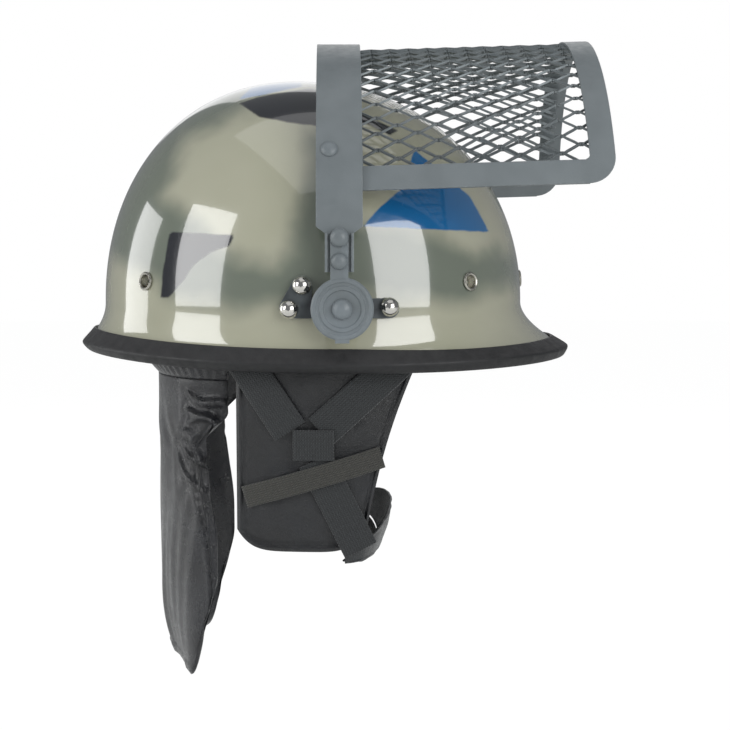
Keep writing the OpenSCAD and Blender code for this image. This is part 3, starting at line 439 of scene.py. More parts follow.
def woven(name, base, light, across_mm, along_mm, depth, rough=0.72):
    """Woven tape: ribs run down the strap and picks across it, one thread over and one under, so it
    catches the light in a fine check; its threads are drawn as coarse as they need to show."""
    mat, tree, shader = material(name, base, rough, Sheen_Weight=0.25, Sheen_Roughness=0.5)
    uv = node(tree, "ShaderNodeSeparateXYZ", {0: place(tree, "UV")})
    phases = [sum_of(tree, uv.outputs[i], 2 * math.pi / (size * MM), "MULTIPLY")
              for i, size in ((0, across_mm), (1, along_mm))]
    warp, weft = (node(tree, "ShaderNodeMath", {0: phase}, operation="SINE").outputs[0] for phase in phases)
    check = remap(tree, sum_of(tree, warp, weft, "MULTIPLY"), -1, 1, 0, 1)
    ribs = remap(tree, warp, -1, 1, 0, 1)
    thread = sum_of(tree, sum_of(tree, check, 0.6, "MULTIPLY"), sum_of(tree, ribs, 0.4, "MULTIPLY"))
    fuzz = remap(tree, noise(tree, place(tree), 1.1, 4, 0.7), 0.3, 0.7, 0.35, 1.1)
    lit = sum_of(tree, thread, fuzz, "MULTIPLY")
    tree.links.new(blended(tree, lit, base, light), shader.inputs["Base Color"])
    raise_by(tree, shader, thread, depth)
    return mat


def moulded_foam(name, base, bead):
    """Expanded bead foam: pale closed beads pressed together, matt, with a dimple at every join."""
    mat, tree, shader = material(name, base, 0.75, Subsurface_Weight=0.05)
    where = place(tree)
    beads = node(tree, "ShaderNodeTexVoronoi", {"Vector": where, "Scale": 1 / (bead * MM)}).outputs["Distance"]
    joins = remap(tree, beads, 0.2, 0.7, 0, 0.5)
    tree.links.new(blended(tree, joins, base, "#b9b6a9"), shader.inputs["Base Color"])
    raise_by(tree, shader, remap(tree, beads, 0, 0.7, 1, 0), 0.25)
    return mat


def moulded_plastic(name, base, rough):
    """Moulded polyamide: satin, with a fine spark-eroded texture and softened edges."""
    mat, tree, shader = material(name, base, rough, IOR=1.53)
    where = place(tree)
    satin = remap(tree, noise(tree, where, 6, 4), 0.3, 0.7, rough * 0.85, rough * 1.2)
    tree.links.new(satin, shader.inputs["Roughness"])
    raise_by(tree, shader, noise(tree, where, 0.7, 3), 0.05, rounded(tree, 0.5))
    return mat


def brushed_lining(name, base, light):
    """Knitted lining cloth: soft, with small loops and a dusty sheen, and each loop's raised middle lighter as
    a painted highlight.
    """
    mat, tree, shader = material(name, base, 0.85, Sheen_Weight=0.4, Sheen_Roughness=0.4)
    where = place(tree)
    loops = node(tree, "ShaderNodeTexVoronoi", {"Vector": where, "Scale": 1 / (1.4 * MM)}).outputs["Distance"]
    # Painted highlight: each loop turns lighter towards its raised middle
    tree.links.new(blended(tree, remap(tree, loops, 0.1, 0.6, 1, 0), base, light), shader.inputs["Base Color"])
    raise_by(tree, shader, remap(tree, loops, 0, 0.7, 1, 0), 0.3)
    return mat


FINISHES = {}


def finish_of(name):
    """A finish by its name, made once."""
    if name not in FINISHES:
        c = bpy.context.scene.helmet_colours
        FINISHES[name] = {
            "camouflage": lambda: camouflage_enamel(c),
            "paint": lambda: powder_coat("powder_coated_steel", c.paint, c, 0.7),
            "arm_paint": lambda: powder_coat("powder_coated_arm", c.arm_paint, c, 0.5),
            "mesh": lambda: powder_coat("powder_coated_mesh", c.mesh, c, 0.35, 0.45),
            "plate": lambda: powder_coat("phosphated_steel_plate", c.plate, c, 0.4, 0.3),
            "chrome": lambda: bare_metal("nickel_plate", c.chrome, 0.12, 0.3),
            "zinc": lambda: bare_metal("zinc_plate", c.zinc, 0.3, 0.4, 0.6),
            "eyelet": lambda: bare_metal("pressed_nickel", c.eyelet, 0.24, 0.3, 0.3),
            "rubber": lambda: trim_rubber(c),
            "leatherette": lambda: leatherette(
                "gloss_leatherette", c.leatherette, c.leatherette_sheen, 0.3, 1.3, 0.16),
            "flap": lambda: leatherette("satin_leatherette", c.flap, c.flap_sheen, 0.42, 1.1, 0.12),
            "cup": lambda: leatherette("moulded_leatherette", c.cup, c.cup_sheen, 0.36, 1.0, 0.1),
            "sweatband": lambda: leatherette(
                "sweatband_leather", c.sweatband, c.sweatband_sheen, 0.5, 1.4, 0.14),
            "webbing": lambda: woven("nylon_webbing", c.webbing, c.webbing_light, 1.5, 1.7, 0.35),
            "elastic": lambda: woven("woven_elastic", c.elastic, c.elastic_light, 1.3, 2.0, 0.45),
            "foam": lambda: moulded_foam("expanded_bead_foam", c.foam, 3.2),
            "plastic": lambda: moulded_plastic("moulded_polyamide", c.plastic, 0.42),
            "lining": lambda: brushed_lining("knitted_lining", c.lining, c.lining_loop_highlight),
        }[name]()
    return FINISHES[name]


def dress(piece, finish):
    """Gives a piece, new or carried over from the frame, one finish in place of what it had."""
    piece.data.materials.clear()
    piece.data.materials.append(finish_of(finish))


def mount(piece, body, finish, slot, *replaced):
    """Finishes a new piece, puts it on its body and hides the frame's nodes that it stands for."""
    dress(piece, finish)
    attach(piece, body)
    if replaced:
        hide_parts(*replaced)
    return piece


# ---- what a user may change ----
def shade(name, default, words):
    """A colour property, kept as an sRGB hex value."""
    return bpy.props.StringProperty(name=name, default=default, description=words)


def length(name, default, words):
    """A size property in millimetres."""
    return bpy.props.FloatProperty(name=name, default=default, description=words + ", in millimetres", min=0)


class HelmetColours(bpy.types.PropertyGroup):
    """Colours of the finishes, as sRGB hex values."""

    sand: shade("Sand", "#a3a38e", "Ground colour of the camouflage")
    sand_light: shade("Light sand", "#aaa996", "Paler drift in the ground colour")
    cloud: shade("Cloud", "#6a7165", "Airbrushed green-grey of the camouflage")
    black: shade("Black patch", "#15181f", "Masked black of the camouflage")
    blue: shade("Blue patch", "#0f5f96", "Masked blue of the camouflage")
    paint: shade("Visor paint", "#70777a", "Powder coat on the visor")
    paint_shade: shade("Visor paint shade", "#697073", "Darker drift in the powder coat")
    paint_worn: shade("Worn paint", "#9aa0a2", "Powder coat where its edges are rubbed")
    arm_paint: shade("Arm paint", "#737b80", "Powder coat on the pivot arms")
    mesh: shade("Mesh paint", "#6f7577", "Thin grey coat on the expanded metal")
    plate: shade("Plate", "#303337", "Dark mounting plates")
    chrome: shade("Cap nuts", "#d6d4cf", "Nickel plate")
    zinc: shade("Bolts", "#9a9fa3", "Zinc plate")
    eyelet: shade("Eyelets", "#b9b7ae", "Vent eyelets")
    rubber: shade("Rubber", "#17181a", "Brim trim")
    # Grey on the trim's up-facing lip: a painted sheen, partly a real film on the rubber
    rubber_bloom_and_sheen: shade("Rubber bloom", "#3b3a3b", "Grey bloom on the trim's upper lip")
    leatherette: shade("Neck leatherette", "#17181c", "Neck guard")
    # A painted sheen, laid on the neck guard in soft patches
    leatherette_sheen: shade("Neck leatherette light", "#24262c", "Where the guard is stretched")
    flap: shade("Flap leatherette", "#121417", "Ear flaps")
    # A painted sheen, laid on the ear flaps in soft patches
    flap_sheen: shade("Flap leatherette light", "#1b1e23", "Where the flaps are stretched")
    cup: shade("Chin cup", "#25282a", "Moulded chin cup")
    # A painted sheen, laid on the chin cup in soft patches
    cup_sheen: shade("Chin cup light", "#33373a", "Where the cup is stretched")
    sweatband: shade("Sweatband", "#2a221d", "Leather round the headband")
    # A painted sheen, laid on the sweatband in soft patches
    sweatband_sheen: shade("Sweatband light", "#3a2f28", "Where the sweatband is stretched")
    webbing: shade("Webbing", "#111315", "Straps")
    webbing_light: shade("Webbing light", "#34383a", "Raised threads of the straps")
    elastic: shade("Elastic", "#1a1b19", "Elastic straps")
    elastic_light: shade("Elastic light", "#4c4b45", "Raised threads of the elastic")
    foam: shade("Foam", "#e6e4da", "Impact liner")
    plastic: shade("Plastic", "#1c1e21", "Headband, clips and sliders")
    lining: shade("Lining", "#26282b", "Crown pad")
    # A painted highlight on the raised middles of the crown pad's loops
    lining_loop_highlight: shade("Lining light", "#4b4e52", "Raised loops of the crown pad")


class HelmetSizes(bpy.types.PropertyGroup):
    """Sizes of the details that the frame leaves to this scene."""

    strand_w: length("Strand width", 2.0, "Width of a strand of the expanded metal")
    strand_t: length("Strand thickness", 1.3, "Thickness of a strand of the expanded metal")
    gather: length("Gather depth", 3.2, "Depth of the gathers at the neck guard's front corners")
    fold: length("Fold depth", 2.6, "Depth of the neck guard's hanging folds")
    piping: length("Piping", 1.5, "Height of the piping sewn along an edge")
    pad: length("Flap padding", 5.5, "Padding in the middle of an ear flap")
    strap_t: length("Strap thickness", 1.5, "Thickness of the webbing")
    camera_lens: bpy.props.FloatProperty(
        name="Lens", default=81.1, description="Focal length of the camera", unit="CAMERA")


# ---- shell ----
def polygon_distance(px, py, corners):
    """Signed distance from points to the edge of a polygon, negative inside: the least distance to
    any side, with its sign from how many sides a ray crosses."""
    best = np.full(px.shape, 1e9)
    inside = np.zeros(px.shape, bool)
    for (x0, y0), (x1, y1) in zip(corners, corners[1:] + corners[:1]):
        ex, ey = x1 - x0, y1 - y0
        t = np.clip(((px - x0) * ex + (py - y0) * ey) / (ex * ex + ey * ey), 0, 1)
        best = np.minimum(best, np.hypot(px - x0 - t * ex, py - y0 - t * ey))
        crossed = (y0 > py) != (y1 > py)
        inside ^= crossed & (px < ex * (py - y0) / (ey if ey else TINY) + x0)
    return np.where(inside, -best, best)


# Camouflage patches, laid out as masks seen square from one side: [behind the head's centre, height]
CLOUDS = [
    [(150, 32), (121, 28), (98, 20), (88, 15), (84, 6), (60, 2), (45, 0), (13, 3), (-29, 6), (-45, 4), (-75, 2),
     (-97, 7), (-123, 11), (-150, 12), (-150, 30), (-126, 30), (-88, 33), (-72, 39), (-45, 45), (-25, 46),
     (-14, 60), (-14, 98), (4, 98), (6, 73), (9, 50), (13, 31), (22, 23), (39, 26), (53, 33), (65, 47), (76, 57), (86, 63),
     (74, 96), (38, 111), (38, 150), (150, 150)],
]
BLACKS = [
    [(44, 117), (32, 108), (14, 104), (-1, 102), (-31, 103), (-43, 97), (-48, 100), (-27, 110), (-10, 124),
     (4, 126), (33, 121)],
    [(82, 42), (44, 40), (47, 34), (57, 31), (68, 23), (73, 15), (82, 5), (87, 5), (85, 24)],
]
BLUES = [
    [(-27, 45), (-38, 57), (-49, 66), (-53, 77), (-57, 89), (-71, 77), (-89, 63), (-101, 42), (-72, 43)],
    [(44, 120), (31, 122), (8, 128), (8, 133), (38, 129)],
]


def patch_field(points, masks, shift):
    """The distance to the nearest of the masks. Each side of the helmet has its own copy, moved
    along by shift on the far side, and the two meet smoothly over the crown."""
    near = np.min([polygon_distance(points[:, 1], points[:, 2], m) for m in masks], 0)
    far = np.min([polygon_distance(-points[:, 1] + shift, points[:, 2], m) for m in masks], 0)
    return mix(near, far, smooth(points[:, 0], -8, 8))


def punched(piece, places):
    """The piece with round holes cut through it: places are (centre, direction, radius), in millimetres."""
    rings, faces, sides = [], [], 40
    turn = np.arange(sides) / sides * 2 * np.pi
    for centre, direction, radius in places:
        d = np.array(direction, float) / np.linalg.norm(direction)
        a = np.cross(d, (0, 0, 1.0))
        a /= np.linalg.norm(a)
        spokes = np.cos(turn)[:, None] * a + np.sin(turn)[:, None] * np.cross(d, a)
        ring = np.array(centre, float) + radius * spokes
        start = len(rings) * 2 * sides
        rings.append(np.concatenate([ring - 9 * d, ring + 9 * d]))
        i = np.arange(sides)
        faces += (np.stack([i, (i + 1) % sides, (i + 1) % sides + sides, i + sides], -1) + start).tolist()
        faces += [(i[::-1] + start).tolist(), (i + sides + start).tolist()]
    mesh = bpy.data.meshes.new("punches")
    mesh.from_pydata((np.concatenate(rings) * MM).tolist(), [], faces)
    punch = bpy.data.objects.new("punches", mesh)
    bpy.context.scene.collection.objects.link(punch)
    cut = piece.modifiers.new("holes", "BOOLEAN")
    cut.object, cut.operation, cut.solver = punch, "DIFFERENCE", "EXACT"
    settle(piece)
    bpy.data.objects.remove(punch)
    bpy.data.meshes.remove(mesh)


def settle(piece):
    """Applies a piece's modifiers to its mesh."""
    bpy.context.view_layer.update()
    done = bpy.data.meshes.new_from_object(piece.evaluated_get(bpy.context.evaluated_depsgraph_get()))
    old = piece.data
    piece.modifiers.clear()
    piece.data = done
    done.name = piece.name
    bpy.data.meshes.remove(old)


class HELMET_OT_shell(bpy.types.Operator):
    """Builds the enamelled shell and its patches."""

    bl_idname = "helmet.shell"
    bl_label = "Shell"

    def execute(self, context):
        around = np.arange(300) / 300 * 2 * np.pi
        rows = [dome(around, t, 0) for t in np.radians(90 - 90 * (np.arange(1, 91) / 90) ** 0.98)]
        rows += [flare(around, u, 0, 0) for u in np.arange(1, 27) / 26]
        rows += [flare(around, u, 0, -WALL) for u in np.arange(10, 0, -1) / 10]
        rows += [dome(around, t, WALL) for t in np.radians(90 - 90 * np.arange(30, 0, -1) / 30)]
        piece = capped_piece("shell_enamel", np.array(rows))
        places = []
        for side in (-1, 1):
            for y in VENT_YS:
                lean = np.array([side * 2.0, shell_x(y - 1, VENT_Z) - shell_x(y + 1, VENT_Z),
                                 shell_x(y, VENT_Z - 1) - shell_x(y, VENT_Z + 1)])
                places.append(((side * shell_x(y, VENT_Z), y, VENT_Z), lean, VENT_R))
        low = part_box("vent_eyelets")[0]
        places.append(((0, low.y / MM + 2, VENT_Z), (0, -1, 0.07), VENT_R))
        punched(piece, places)
        co = np.empty(len(piece.data.vertices) * 3, np.float32)
        piece.data.vertices.foreach_get("co", co)
        points = co.reshape(-1, 3).astype(float) / MM
        for name, masks, shift in (("cloud", CLOUDS, -12), ("black", BLACKS, 20), ("blue", BLUES, 6)):
            piece.data.attributes.new(name, "FLOAT", "POINT").data.foreach_set(
                "value", patch_field(points, masks, shift).astype(np.float32))
        piece.data.set_sharp_from_angle(angle=math.radians(40))
        mount(piece, "helmet", "camouflage", "camouflage_shell", "shell")
        return {"FINISHED"}


class HELMET_OT_trim(bpy.types.Operator):
    """Builds the rubber trim on the brim's edge."""

    bl_idname = "helmet.trim"
    bl_label = "Brim trim"

    def execute(self, context):
        # Section as [past the edge, off the wall], its outer corners rounded by cutting them twice
        corners = np.array([
            [-11, 0.25], [0.1, 0.25], [0.1, -2.75], [-8, -2.75], [-8, -3.9], [-3, -6.1], [1.1, -6.1],
            [2.7, -4.5], [2.7, 0.5], [1.3, 1.9], [-10.2, 1.9], [-11, 1.3]])
        for _ in range(2):
            after = np.roll(corners, -1, axis=0)
            corners = np.stack([mix(corners, after, 0.22), mix(corners, after, 0.78)], 1).reshape(-1, 2)
        around = np.arange(300) / 300 * 2 * np.pi
        rows = np.stack([on_brim(around, x, y) for x, y in corners], 1)
        piece = ring_piece("edge_trim_rubber", rows)
        mount(piece, "helmet", "rubber", "rubber_trim", "edge_trim")
        return {"FINISHED"}


# ---- visor ----
FRAME_IN_BAND = 2.5  # the band's wall, and the gap between it and the frame's outer face
FRAME_WALL = 1.5
RAIL_TOP = 77.5  # height of the window's lower edge above the pivots
DIAMOND_LONG, DIAMOND_SHORT = 22.5, 10.8


class HELMET_OT_visor_mesh(bpy.types.Operator):
    """Builds the expanded metal of the visor as twisted strands."""

    bl_idname = "helmet.visor_mesh"
    bl_label = "Visor mesh"

    def execute(self, context):
        s = context.scene.helmet_sizes
        frame_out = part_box("visor_frame")[1].x / MM
        centre_z = BAND_TOP - frame_out - FRAME_IN_BAND
        radius = frame_out - FRAME_WALL - 1.1
        step = DIAMOND_SHORT / 2 / radius
        low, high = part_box("visor_mesh")
        front, back = low.y / MM + 1, high.y / MM - 1
        rail = math.asin((RAIL_TOP - centre_z) / frame_out)
        rows = int((math.pi / 2 - rail + 4 / radius) / step)
        middle = (front + back) / 2
        # Knots of the lattice: even rows lie half a diamond along from odd ones
        starts, ends = [], []
        for row in range(-rows, rows):
            for k in range(-8, 9):
                y0 = middle + k * DIAMOND_LONG + (DIAMOND_LONG / 2 if row % 2 == 0 else 0)
                for turn in (-1, 1):
                    y1 = y0 + turn * DIAMOND_LONG / 2
                    if front < min(y0, y1) and max(y0, y1) < back:
                        starts.append((row * step, y0))
                        ends.append((row * step + step, y1))
        a, b = np.array(starts), np.array(ends)
        # Along a strand: flat on the knots, then a straight run between them
        t = np.array([-0.09, 0.1, 0.32, 0.68, 0.9, 1.09])
        ease = np.array([-0.02, 0.02, 0.3, 0.7, 0.98, 1.02])
        theta = mix(a[:, None, 0], b[:, None, 0], ease)
        y = mix(a[:, None, 1], b[:, None, 1], t)
        # Each strand leans out of the sheet, so its upper edge stands proud
        lean = math.radians(42)
        w, d = s.strand_w / 2, s.strand_t / 2
        section = np.array([(-w, -d), (-w, d), (w, d), (w, -d)])
        up = section[:, 0] * math.cos(lean) - section[:, 1] * math.sin(lean)
        out = section[:, 0] * math.sin(lean) + section[:, 1] * math.cos(lean)
        radial = radius + out + (0.5 - ease[:, None]) * 0.8
        turned = theta[..., None] + up / radius
        x, z = radial * np.sin(turned), centre_z + radial * np.cos(turned)
        along = np.broadcast_to(y[..., None], x.shape)
        slope = math.radians(1.8)
        dy, dz = along - BAND_Y, z - BAND_TOP
        points = np.stack([-x, BAND_Y + dy * math.cos(slope) + dz * math.sin(slope),
                           BAND_TOP - dy * math.sin(slope) + dz * math.cos(slope)], -1)
        count, stations, sides = points.shape[:3]
        one = np.concatenate([grid_faces(stations, sides, ring=True), [[3, 2, 1, 0]],
                              np.array([[0, 1, 2, 3]]) + (stations - 1) * sides])
        faces = (one[None] + np.arange(count)[:, None, None] * stations * sides).reshape(-1, 4)
        piece = make("visor_mesh_strands", points.reshape(-1, 3), [faces], flat=True)
        mount(piece, "visor", "mesh", "mesh_steel", "visor_mesh")
        return {"FINISHED"}


class HELMET_OT_hardware(bpy.types.Operator):
    """Finishes the metal and moulded pieces that the frame already shapes."""

    bl_idname = "helmet.hardware"
    bl_label = "Hardware"

    def execute(self, context):
        for finish, names in {
            "paint": "visor_band visor_frame",
            "arm_paint": "visor_arm_right visor_arm_left arm_rivets frame_rivets pivot_bolts",
            "plate": "mounting_plate_right mounting_plate_left pivot_spacers",
            "chrome": "dome_nuts",
            "zinc": "plate_bolts",
            "eyelet": "vent_eyelets",
            "foam": "impact_liner",
            "plastic": "headband headband_clips",
        }.items():
            for name in names.split():
                dress(NODES[name], finish)
        return {"FINISHED"}


# ---- neck guard ----
GUARD = (88.0, 97.5, 43.0, 42.0, 217.0)  # half width, rear, middle, top and bottom


def guard_point(u, v, extra):
    """The curtain: u runs round it and v down it, on half an ellipse in plan. Its front edges stand
    forward at the gathers, are drawn back below them and again at the bottom. Folds deepen
    downwards, the lower edge turns in, and extra moves a point outwards."""
    half_w, rear, mid, top, bottom = GUARD
    fold = bpy.context.scene.helmet_sizes.fold
    edge = np.radians(7 + 15 * smooth(v, 0.13, 0.25) - 7 * smooth(v, 0.25, 0.7) + 9 * smooth(v, 0.8, 1.0))
    a = mix(edge, np.pi - edge, u)
    swell = fold * v * (np.sin(6 * (a - np.pi / 2) + np.pi / 2) - 1) - 9 * v**9 * np.sin(a) ** 2 + extra
    low = bottom - 34 * np.maximum(0, (np.abs(2 * u - 1) - 0.74) / 0.26) ** 3
    x, y = (half_w + swell) * np.cos(a), mid + (rear - mid + swell) * np.sin(a)
    return np.stack(np.broadcast_arrays(x, y, -mix(top, low, v)), -1)


def gathers(s, z):
    """Gathers at a front corner, by the distance s from the guard's front edge and the depth:
    sharp folds fan out of a line of stitching and die away forwards and downwards."""
    total = np.zeros(np.broadcast(s, z).shape)
    #            depth at the stitching, slope, width and height of each fold
    for depth, slope, width, height in ((50, 0.25, 2.6, 0.8), (58, 0.42, 2.2, 1.0), (65, 0.1, 2.0, 0.7),
                                        (72, 0.55, 2.8, 1.0), (80, 0.35, 2.0, 0.8), (88, 0.9, 3.2, 0.9)):
        run = 30 - s
        line = depth + slope * run + 2.2 * np.sin(run / 6 + depth)
        total = total + height * bump(-z, line, width) * smooth(run, -4, 3)
    return (total - 0.5) * smooth(s, 40, 28) * smooth(-z, 44, 50) * smooth(-z, 118, 96)


class HELMET_OT_neck_guard(bpy.types.Operator):
    """Builds the leatherette neck guard and the hem that it hangs from."""

    bl_idname = "helmet.neck_guard"
    bl_label = "Neck guard"

    def execute(self, context):
        s = context.scene.helmet_sizes
        u = np.linspace(0, 1, 281)[None, :]
        v = np.linspace(0, 1, 181)[:, None]
        plain = guard_point(u, v, 0)
        steps = np.linalg.norm(np.diff(plain, axis=1), axis=2)
        across = np.concatenate([np.zeros((181, 1)), np.cumsum(steps, axis=1)], 1)
        edge = np.minimum(across, across[:, -1:] - across)
        z = plain[..., 2]
        hang = smooth(v, 0.02, 0.2)
        crease = waves(across, z * 0.16, 5, 14, 11, 34) * 0.9 * hang
        pipe = s.piping * bump(edge, 9, 1.0) + 0.5 * bump(edge, 17, 2.4) - 0.6 * bump(edge, 12.4, 1.6)
        pucker = 0.35 * np.sin(z * 2 * np.pi / 6.5 + 2 * np.sin(z / 9)) * bump(edge, 12.5, 3.2)
        pucker = pucker * smooth(-z, 90, 110)
        lift = crease * smooth(edge, 4, 26) + pipe * hang + pucker + s.gather * gathers(edge, z)
        hem = 0.8 * smooth(v, 0.955, 0.965)
        outer = guard_point(u, v, lift * smooth(v, 0, 0.03) + hem - 0.9)
        inner = guard_point(u, v, crease * 0.6 - 3.6)
        rim = smooth(edge, 0, 2.2)[..., None] * smooth(1 - v, 0, 0.012)[..., None]
        middle = (outer + inner) / 2
        outer, inner = mix(middle, outer, 0.25 + 0.75 * rim), mix(middle, inner, 0.25 + 0.75 * rim)
        piece = slab("neck_guard_leatherette", outer, inner, grid_uv(plain))
        mount(piece, "neck_guard", "leatherette", "leatherette", "neck_guard")
        # The hem runs from under the liner to the guard's top edge
        u = np.linspace(0, 1, 201)[None, :]
        v = np.linspace(0, 1, 22)[:, None]

        def hem_point(inset):
            """A straight line from the liner's outline to the guard's top edge, drawn in by inset."""
            sides = BODY[0] - INSIDE - inset, BODY[1], BODY[2] - INSIDE - inset
            tx, ty = outline(np.radians(mix(27, 153, u)), *sides)
            low = guard_point(u, 0 * u, -inset)
            z = -mix(HEM_TOP, GUARD[3] - 0.3, v) + 0 * u
            return np.stack([mix(tx, low[..., 0], v), mix(ty, low[..., 1], v), z], -1)

        ruck = 0.7 * np.sin(u * 2 * np.pi * 31) * np.sin(np.pi * v) ** 0.5
        piece = slab("neck_hem_leatherette", hem_point(0.8 + ruck), hem_point(3.4))
        mount(piece, "helmet", "leatherette", "leatherette", "neck_hem")
        top_row = hem_point(2)[11]
        middle = hem_point(2)[:, 100]
        return {"FINISHED"}


# ---- ear flaps and straps ----
FLAP_BOTTOM = 138.0


def flap_x(y, depth):
    """How far a flap's outer face stands from the middle: the body's outline, leaning in downwards."""
    return side_x(y, INSIDE) - 7 * (depth - HEM_TOP) / (FLAP_BOTTOM - HEM_TOP)


def flap_grid(s, v, off):
    """A flap's face by its parts across and down, moved off it: straight above, with rounded lower corners."""
    y = mix(mix(-66, -30, v) + 4.5 * np.sin(np.pi * v), 44, s)
    low = FLAP_BOTTOM - 14 * np.abs(2 * s - 1.03) ** 5
    depth = mix(HEM_TOP, low, v)
    return np.stack(np.broadcast_arrays(-flap_x(y, depth) - off, y, -depth), -1)


class HELMET_OT_ear_flaps(bpy.types.Operator):
    """Builds the padded ear flaps with their piped edges."""

    bl_idname = "helmet.ear_flaps"
    bl_label = "Ear flaps"

    def execute(self, context):
        sizes = context.scene.helmet_sizes
        s = np.linspace(0, 1, 141)[None, :]
        v = np.linspace(0, 1, 161)[:, None]
        plain = flap_grid(s, v, 0)
        y, z = plain[..., 1], plain[..., 2]
        across = (y - y[:, :1])
        rear = y[:, -1:] - y
        edge = np.minimum(np.minimum(across, rear), (plain[-1:, :, 2] - z) * -1)
        crown = np.sqrt(np.clip(np.sin(np.pi * s) * np.sin(np.pi * np.minimum(v + 0.04, 1)), 0, 1))
        crease = waves(y, z, 11, 16, 14, 40) * 0.45 * smooth(edge, 2, 14)
        # Two creases where the front strap pulls on the flap
        pulls = bump((y + 44) * 0.45 + (z + 72) * 0.9, 0, 3.0)
        pulls = pulls + 0.8 * bump((y + 36) * 0.35 + (z + 84) * 0.94, 0, 2.4)
        pulls = 0.9 * pulls * smooth(across, 3, 9) * smooth(across, 46, 22)
        pipe = 1.1 * bump(edge, 1.9, 1.0) - 0.7 * bump(edge, 4.4, 1.2)
        outer = flap_grid(s, v, np.minimum(crease + pulls, 0.45) - 0.55 + np.minimum(pipe, 0.9))
        inner = flap_grid(s, v, -2.3 - sizes.pad * crown)
        rim = smooth(edge, 0, 2.0)[..., None]
        middle = (outer + inner) / 2
        outer, inner = mix(middle, outer, 0.3 + 0.7 * rim), mix(middle, inner, 0.3 + 0.7 * rim)
        uv = grid_uv(plain)
        for side in ("right", "left"):
            if side == "left":
                outer, inner = mirrored(outer), mirrored(inner)
            piece = slab(f"ear_flap_{side}_leatherette", outer, inner, uv)
            mount(piece, "helmet", "flap", "flap_cloth", f"ear_flap_{side}")
        return {"FINISHED"}


def strap_rows(start, end, width, off, lift, rise, count=64):
    """A flat strap over a flap from one place to another, each [y, depth]. Its section is a lozenge
    of 16 points with rounded selvedges; it is raised between its ends by lift and at its end by rise."""
    p, q = np.array(start, float), np.array(end, float)
    t = np.linspace(0, 1, count)[:, None]
    along = q - p
    size = np.linalg.norm(along)
    side = np.array([-along[1], along[0]]) / size * width / 2
    thick = bpy.context.scene.helmet_sizes.strap_t
    turn = np.linspace(0, 2 * np.pi, 16, endpoint=False)[None, :]
    across, up = signed_pow(np.cos(turn), 0.35), signed_pow(np.sin(turn), 0.6)
    h = off + lift * np.minimum(1, 3 * np.minimum(t, 1 - t)) + rise * np.clip(4 * t - 2.4, 0, 1)
    y = p[0] + along[0] * t + side[0] * across
    depth = p[1] + along[1] * t + side[1] * across
    out = flap_x(y, depth) + h + thick / 2 * (1 + up)
    rows = np.stack([-out, y, -depth], -1)
    uv = np.stack(np.broadcast_arrays(across * width / 2, t * size), -1)
    return rows, uv


STRAPS = {
    "front_strap": ((-58, 20), (-3.5, 69.1), 20, 0.7, 0, 0),
    "rear_strap": ((46, 20), (13.5, 69.1), 20, 0.7, 0, 0),
    "elastic_strap": ((39.5, 107), (-38, 83.5), 12.5, 0.7, 2.1, 0),
    "strap_slider": ((0.5, 68.1), (0.5, 85.1), 23, 2.5, 0, 0),
    "chin_strap": ((-0.5, 85.1), (-26, 136), 20, 0.7, 0, 2.3),
}


class HELMET_OT_straps(bpy.types.Operator):
    """Builds the webbing on both flaps."""

    bl_idname = "helmet.straps"
    bl_label = "Straps"

    def execute(self, context):
        for kind, run in STRAPS.items():
            rows, uv = strap_rows(*run)
            finish = {"elastic_strap": "elastic"}.get(kind, "webbing")
            slot = {"elastic_strap": "elastic", "strap_slider": "slider_plastic"}.get(kind, "webbing")
            for side in ("right", "left"):
                piece = capped_piece(f"{kind}_{side}_tape", rows if side == "right" else mirrored(rows), uv)
                mount(piece, "helmet", finish, slot, f"{kind}_{side}")
        return {"FINISHED"}


# ---- chin cup ----
def cup_point(q, v, inset):
    """The chin cup: q is the angle from its middle in front, and v runs down its wall, which is
    tallest in the middle and draws in downwards."""
    c = np.cos(q * 90 / 82)
    draw_in = 7 * c * v * v + inset
    half_w = flap_x(np.array(-26.0), 136.0) + 0.7 + 2
    x = -(half_w - draw_in) * np.sin(q) / math.sin(math.radians(82))
    y = -17 - (30 - draw_in) * np.maximum(0, c) ** 0.8
    z = -(137 - 15 * c) - (7 + 15 * c) * v
    return np.stack(np.broadcast_arrays(x, y, z), -1)


class HELMET_OT_chin_cup(bpy.types.Operator):
    """Builds the moulded chin cup and the webbing under it."""

    bl_idname = "helmet.chin_cup"
    bl_label = "Chin cup"

    def execute(self, context):
        q = np.radians(np.linspace(-82, 82, 181))[None, :]
        v = np.linspace(0, 1, 40)[:, None]
        dent = waves(q * 90, v * 22, 21, 10, 12, 40) * 0.4
        roll = 0.5 * (bump(v, 0.05, 0.04) + bump(v, 0.93, 0.05))
        outer = cup_point(q, v, 0.5 - np.minimum(dent + roll, 0.5))
        inner = cup_point(q, v, 1.9 + 0 * dent)
        piece = slab("chin_cup_leatherette", outer, inner, grid_uv(outer))
        mount(piece, "helmet", "cup", "cup_leather", "chin_cup")
        q = np.radians(np.linspace(-62, 62, 121))[:, None]
        turn = np.linspace(0, 2 * np.pi, 16, endpoint=False)[None, :]
        across = 0.5 + 0.5 * signed_pow(np.cos(turn), 0.35)
        up = signed_pow(np.sin(turn), 0.6)
        p = cup_point(q, 1.0, 0)
        rows = np.stack([
            p[..., 0] * 0.98 + 0 * across, p[..., 1] + 2 + across * (8 + 8 * np.cos(q)),
            p[..., 2] - 0.3 - 0.75 + 0.75 * up], -1)
        uv = np.stack(np.broadcast_arrays(across * 16, q * 95), -1)
        piece = capped_piece("chin_cup_webbing", rows, uv)
        mount(piece, "helmet", "webbing", "webbing", "chin_cup_strap")
        return {"FINISHED"}


# ---- suspension inside the shell ----
HEADBAND = (82.0, 100.0, 30.0)


def oval(a, half_w, half_l):
    """An ellipse: half width times cos(a), half length times sin(a)."""
    return half_w * np.cos(a), half_l * np.sin(a)


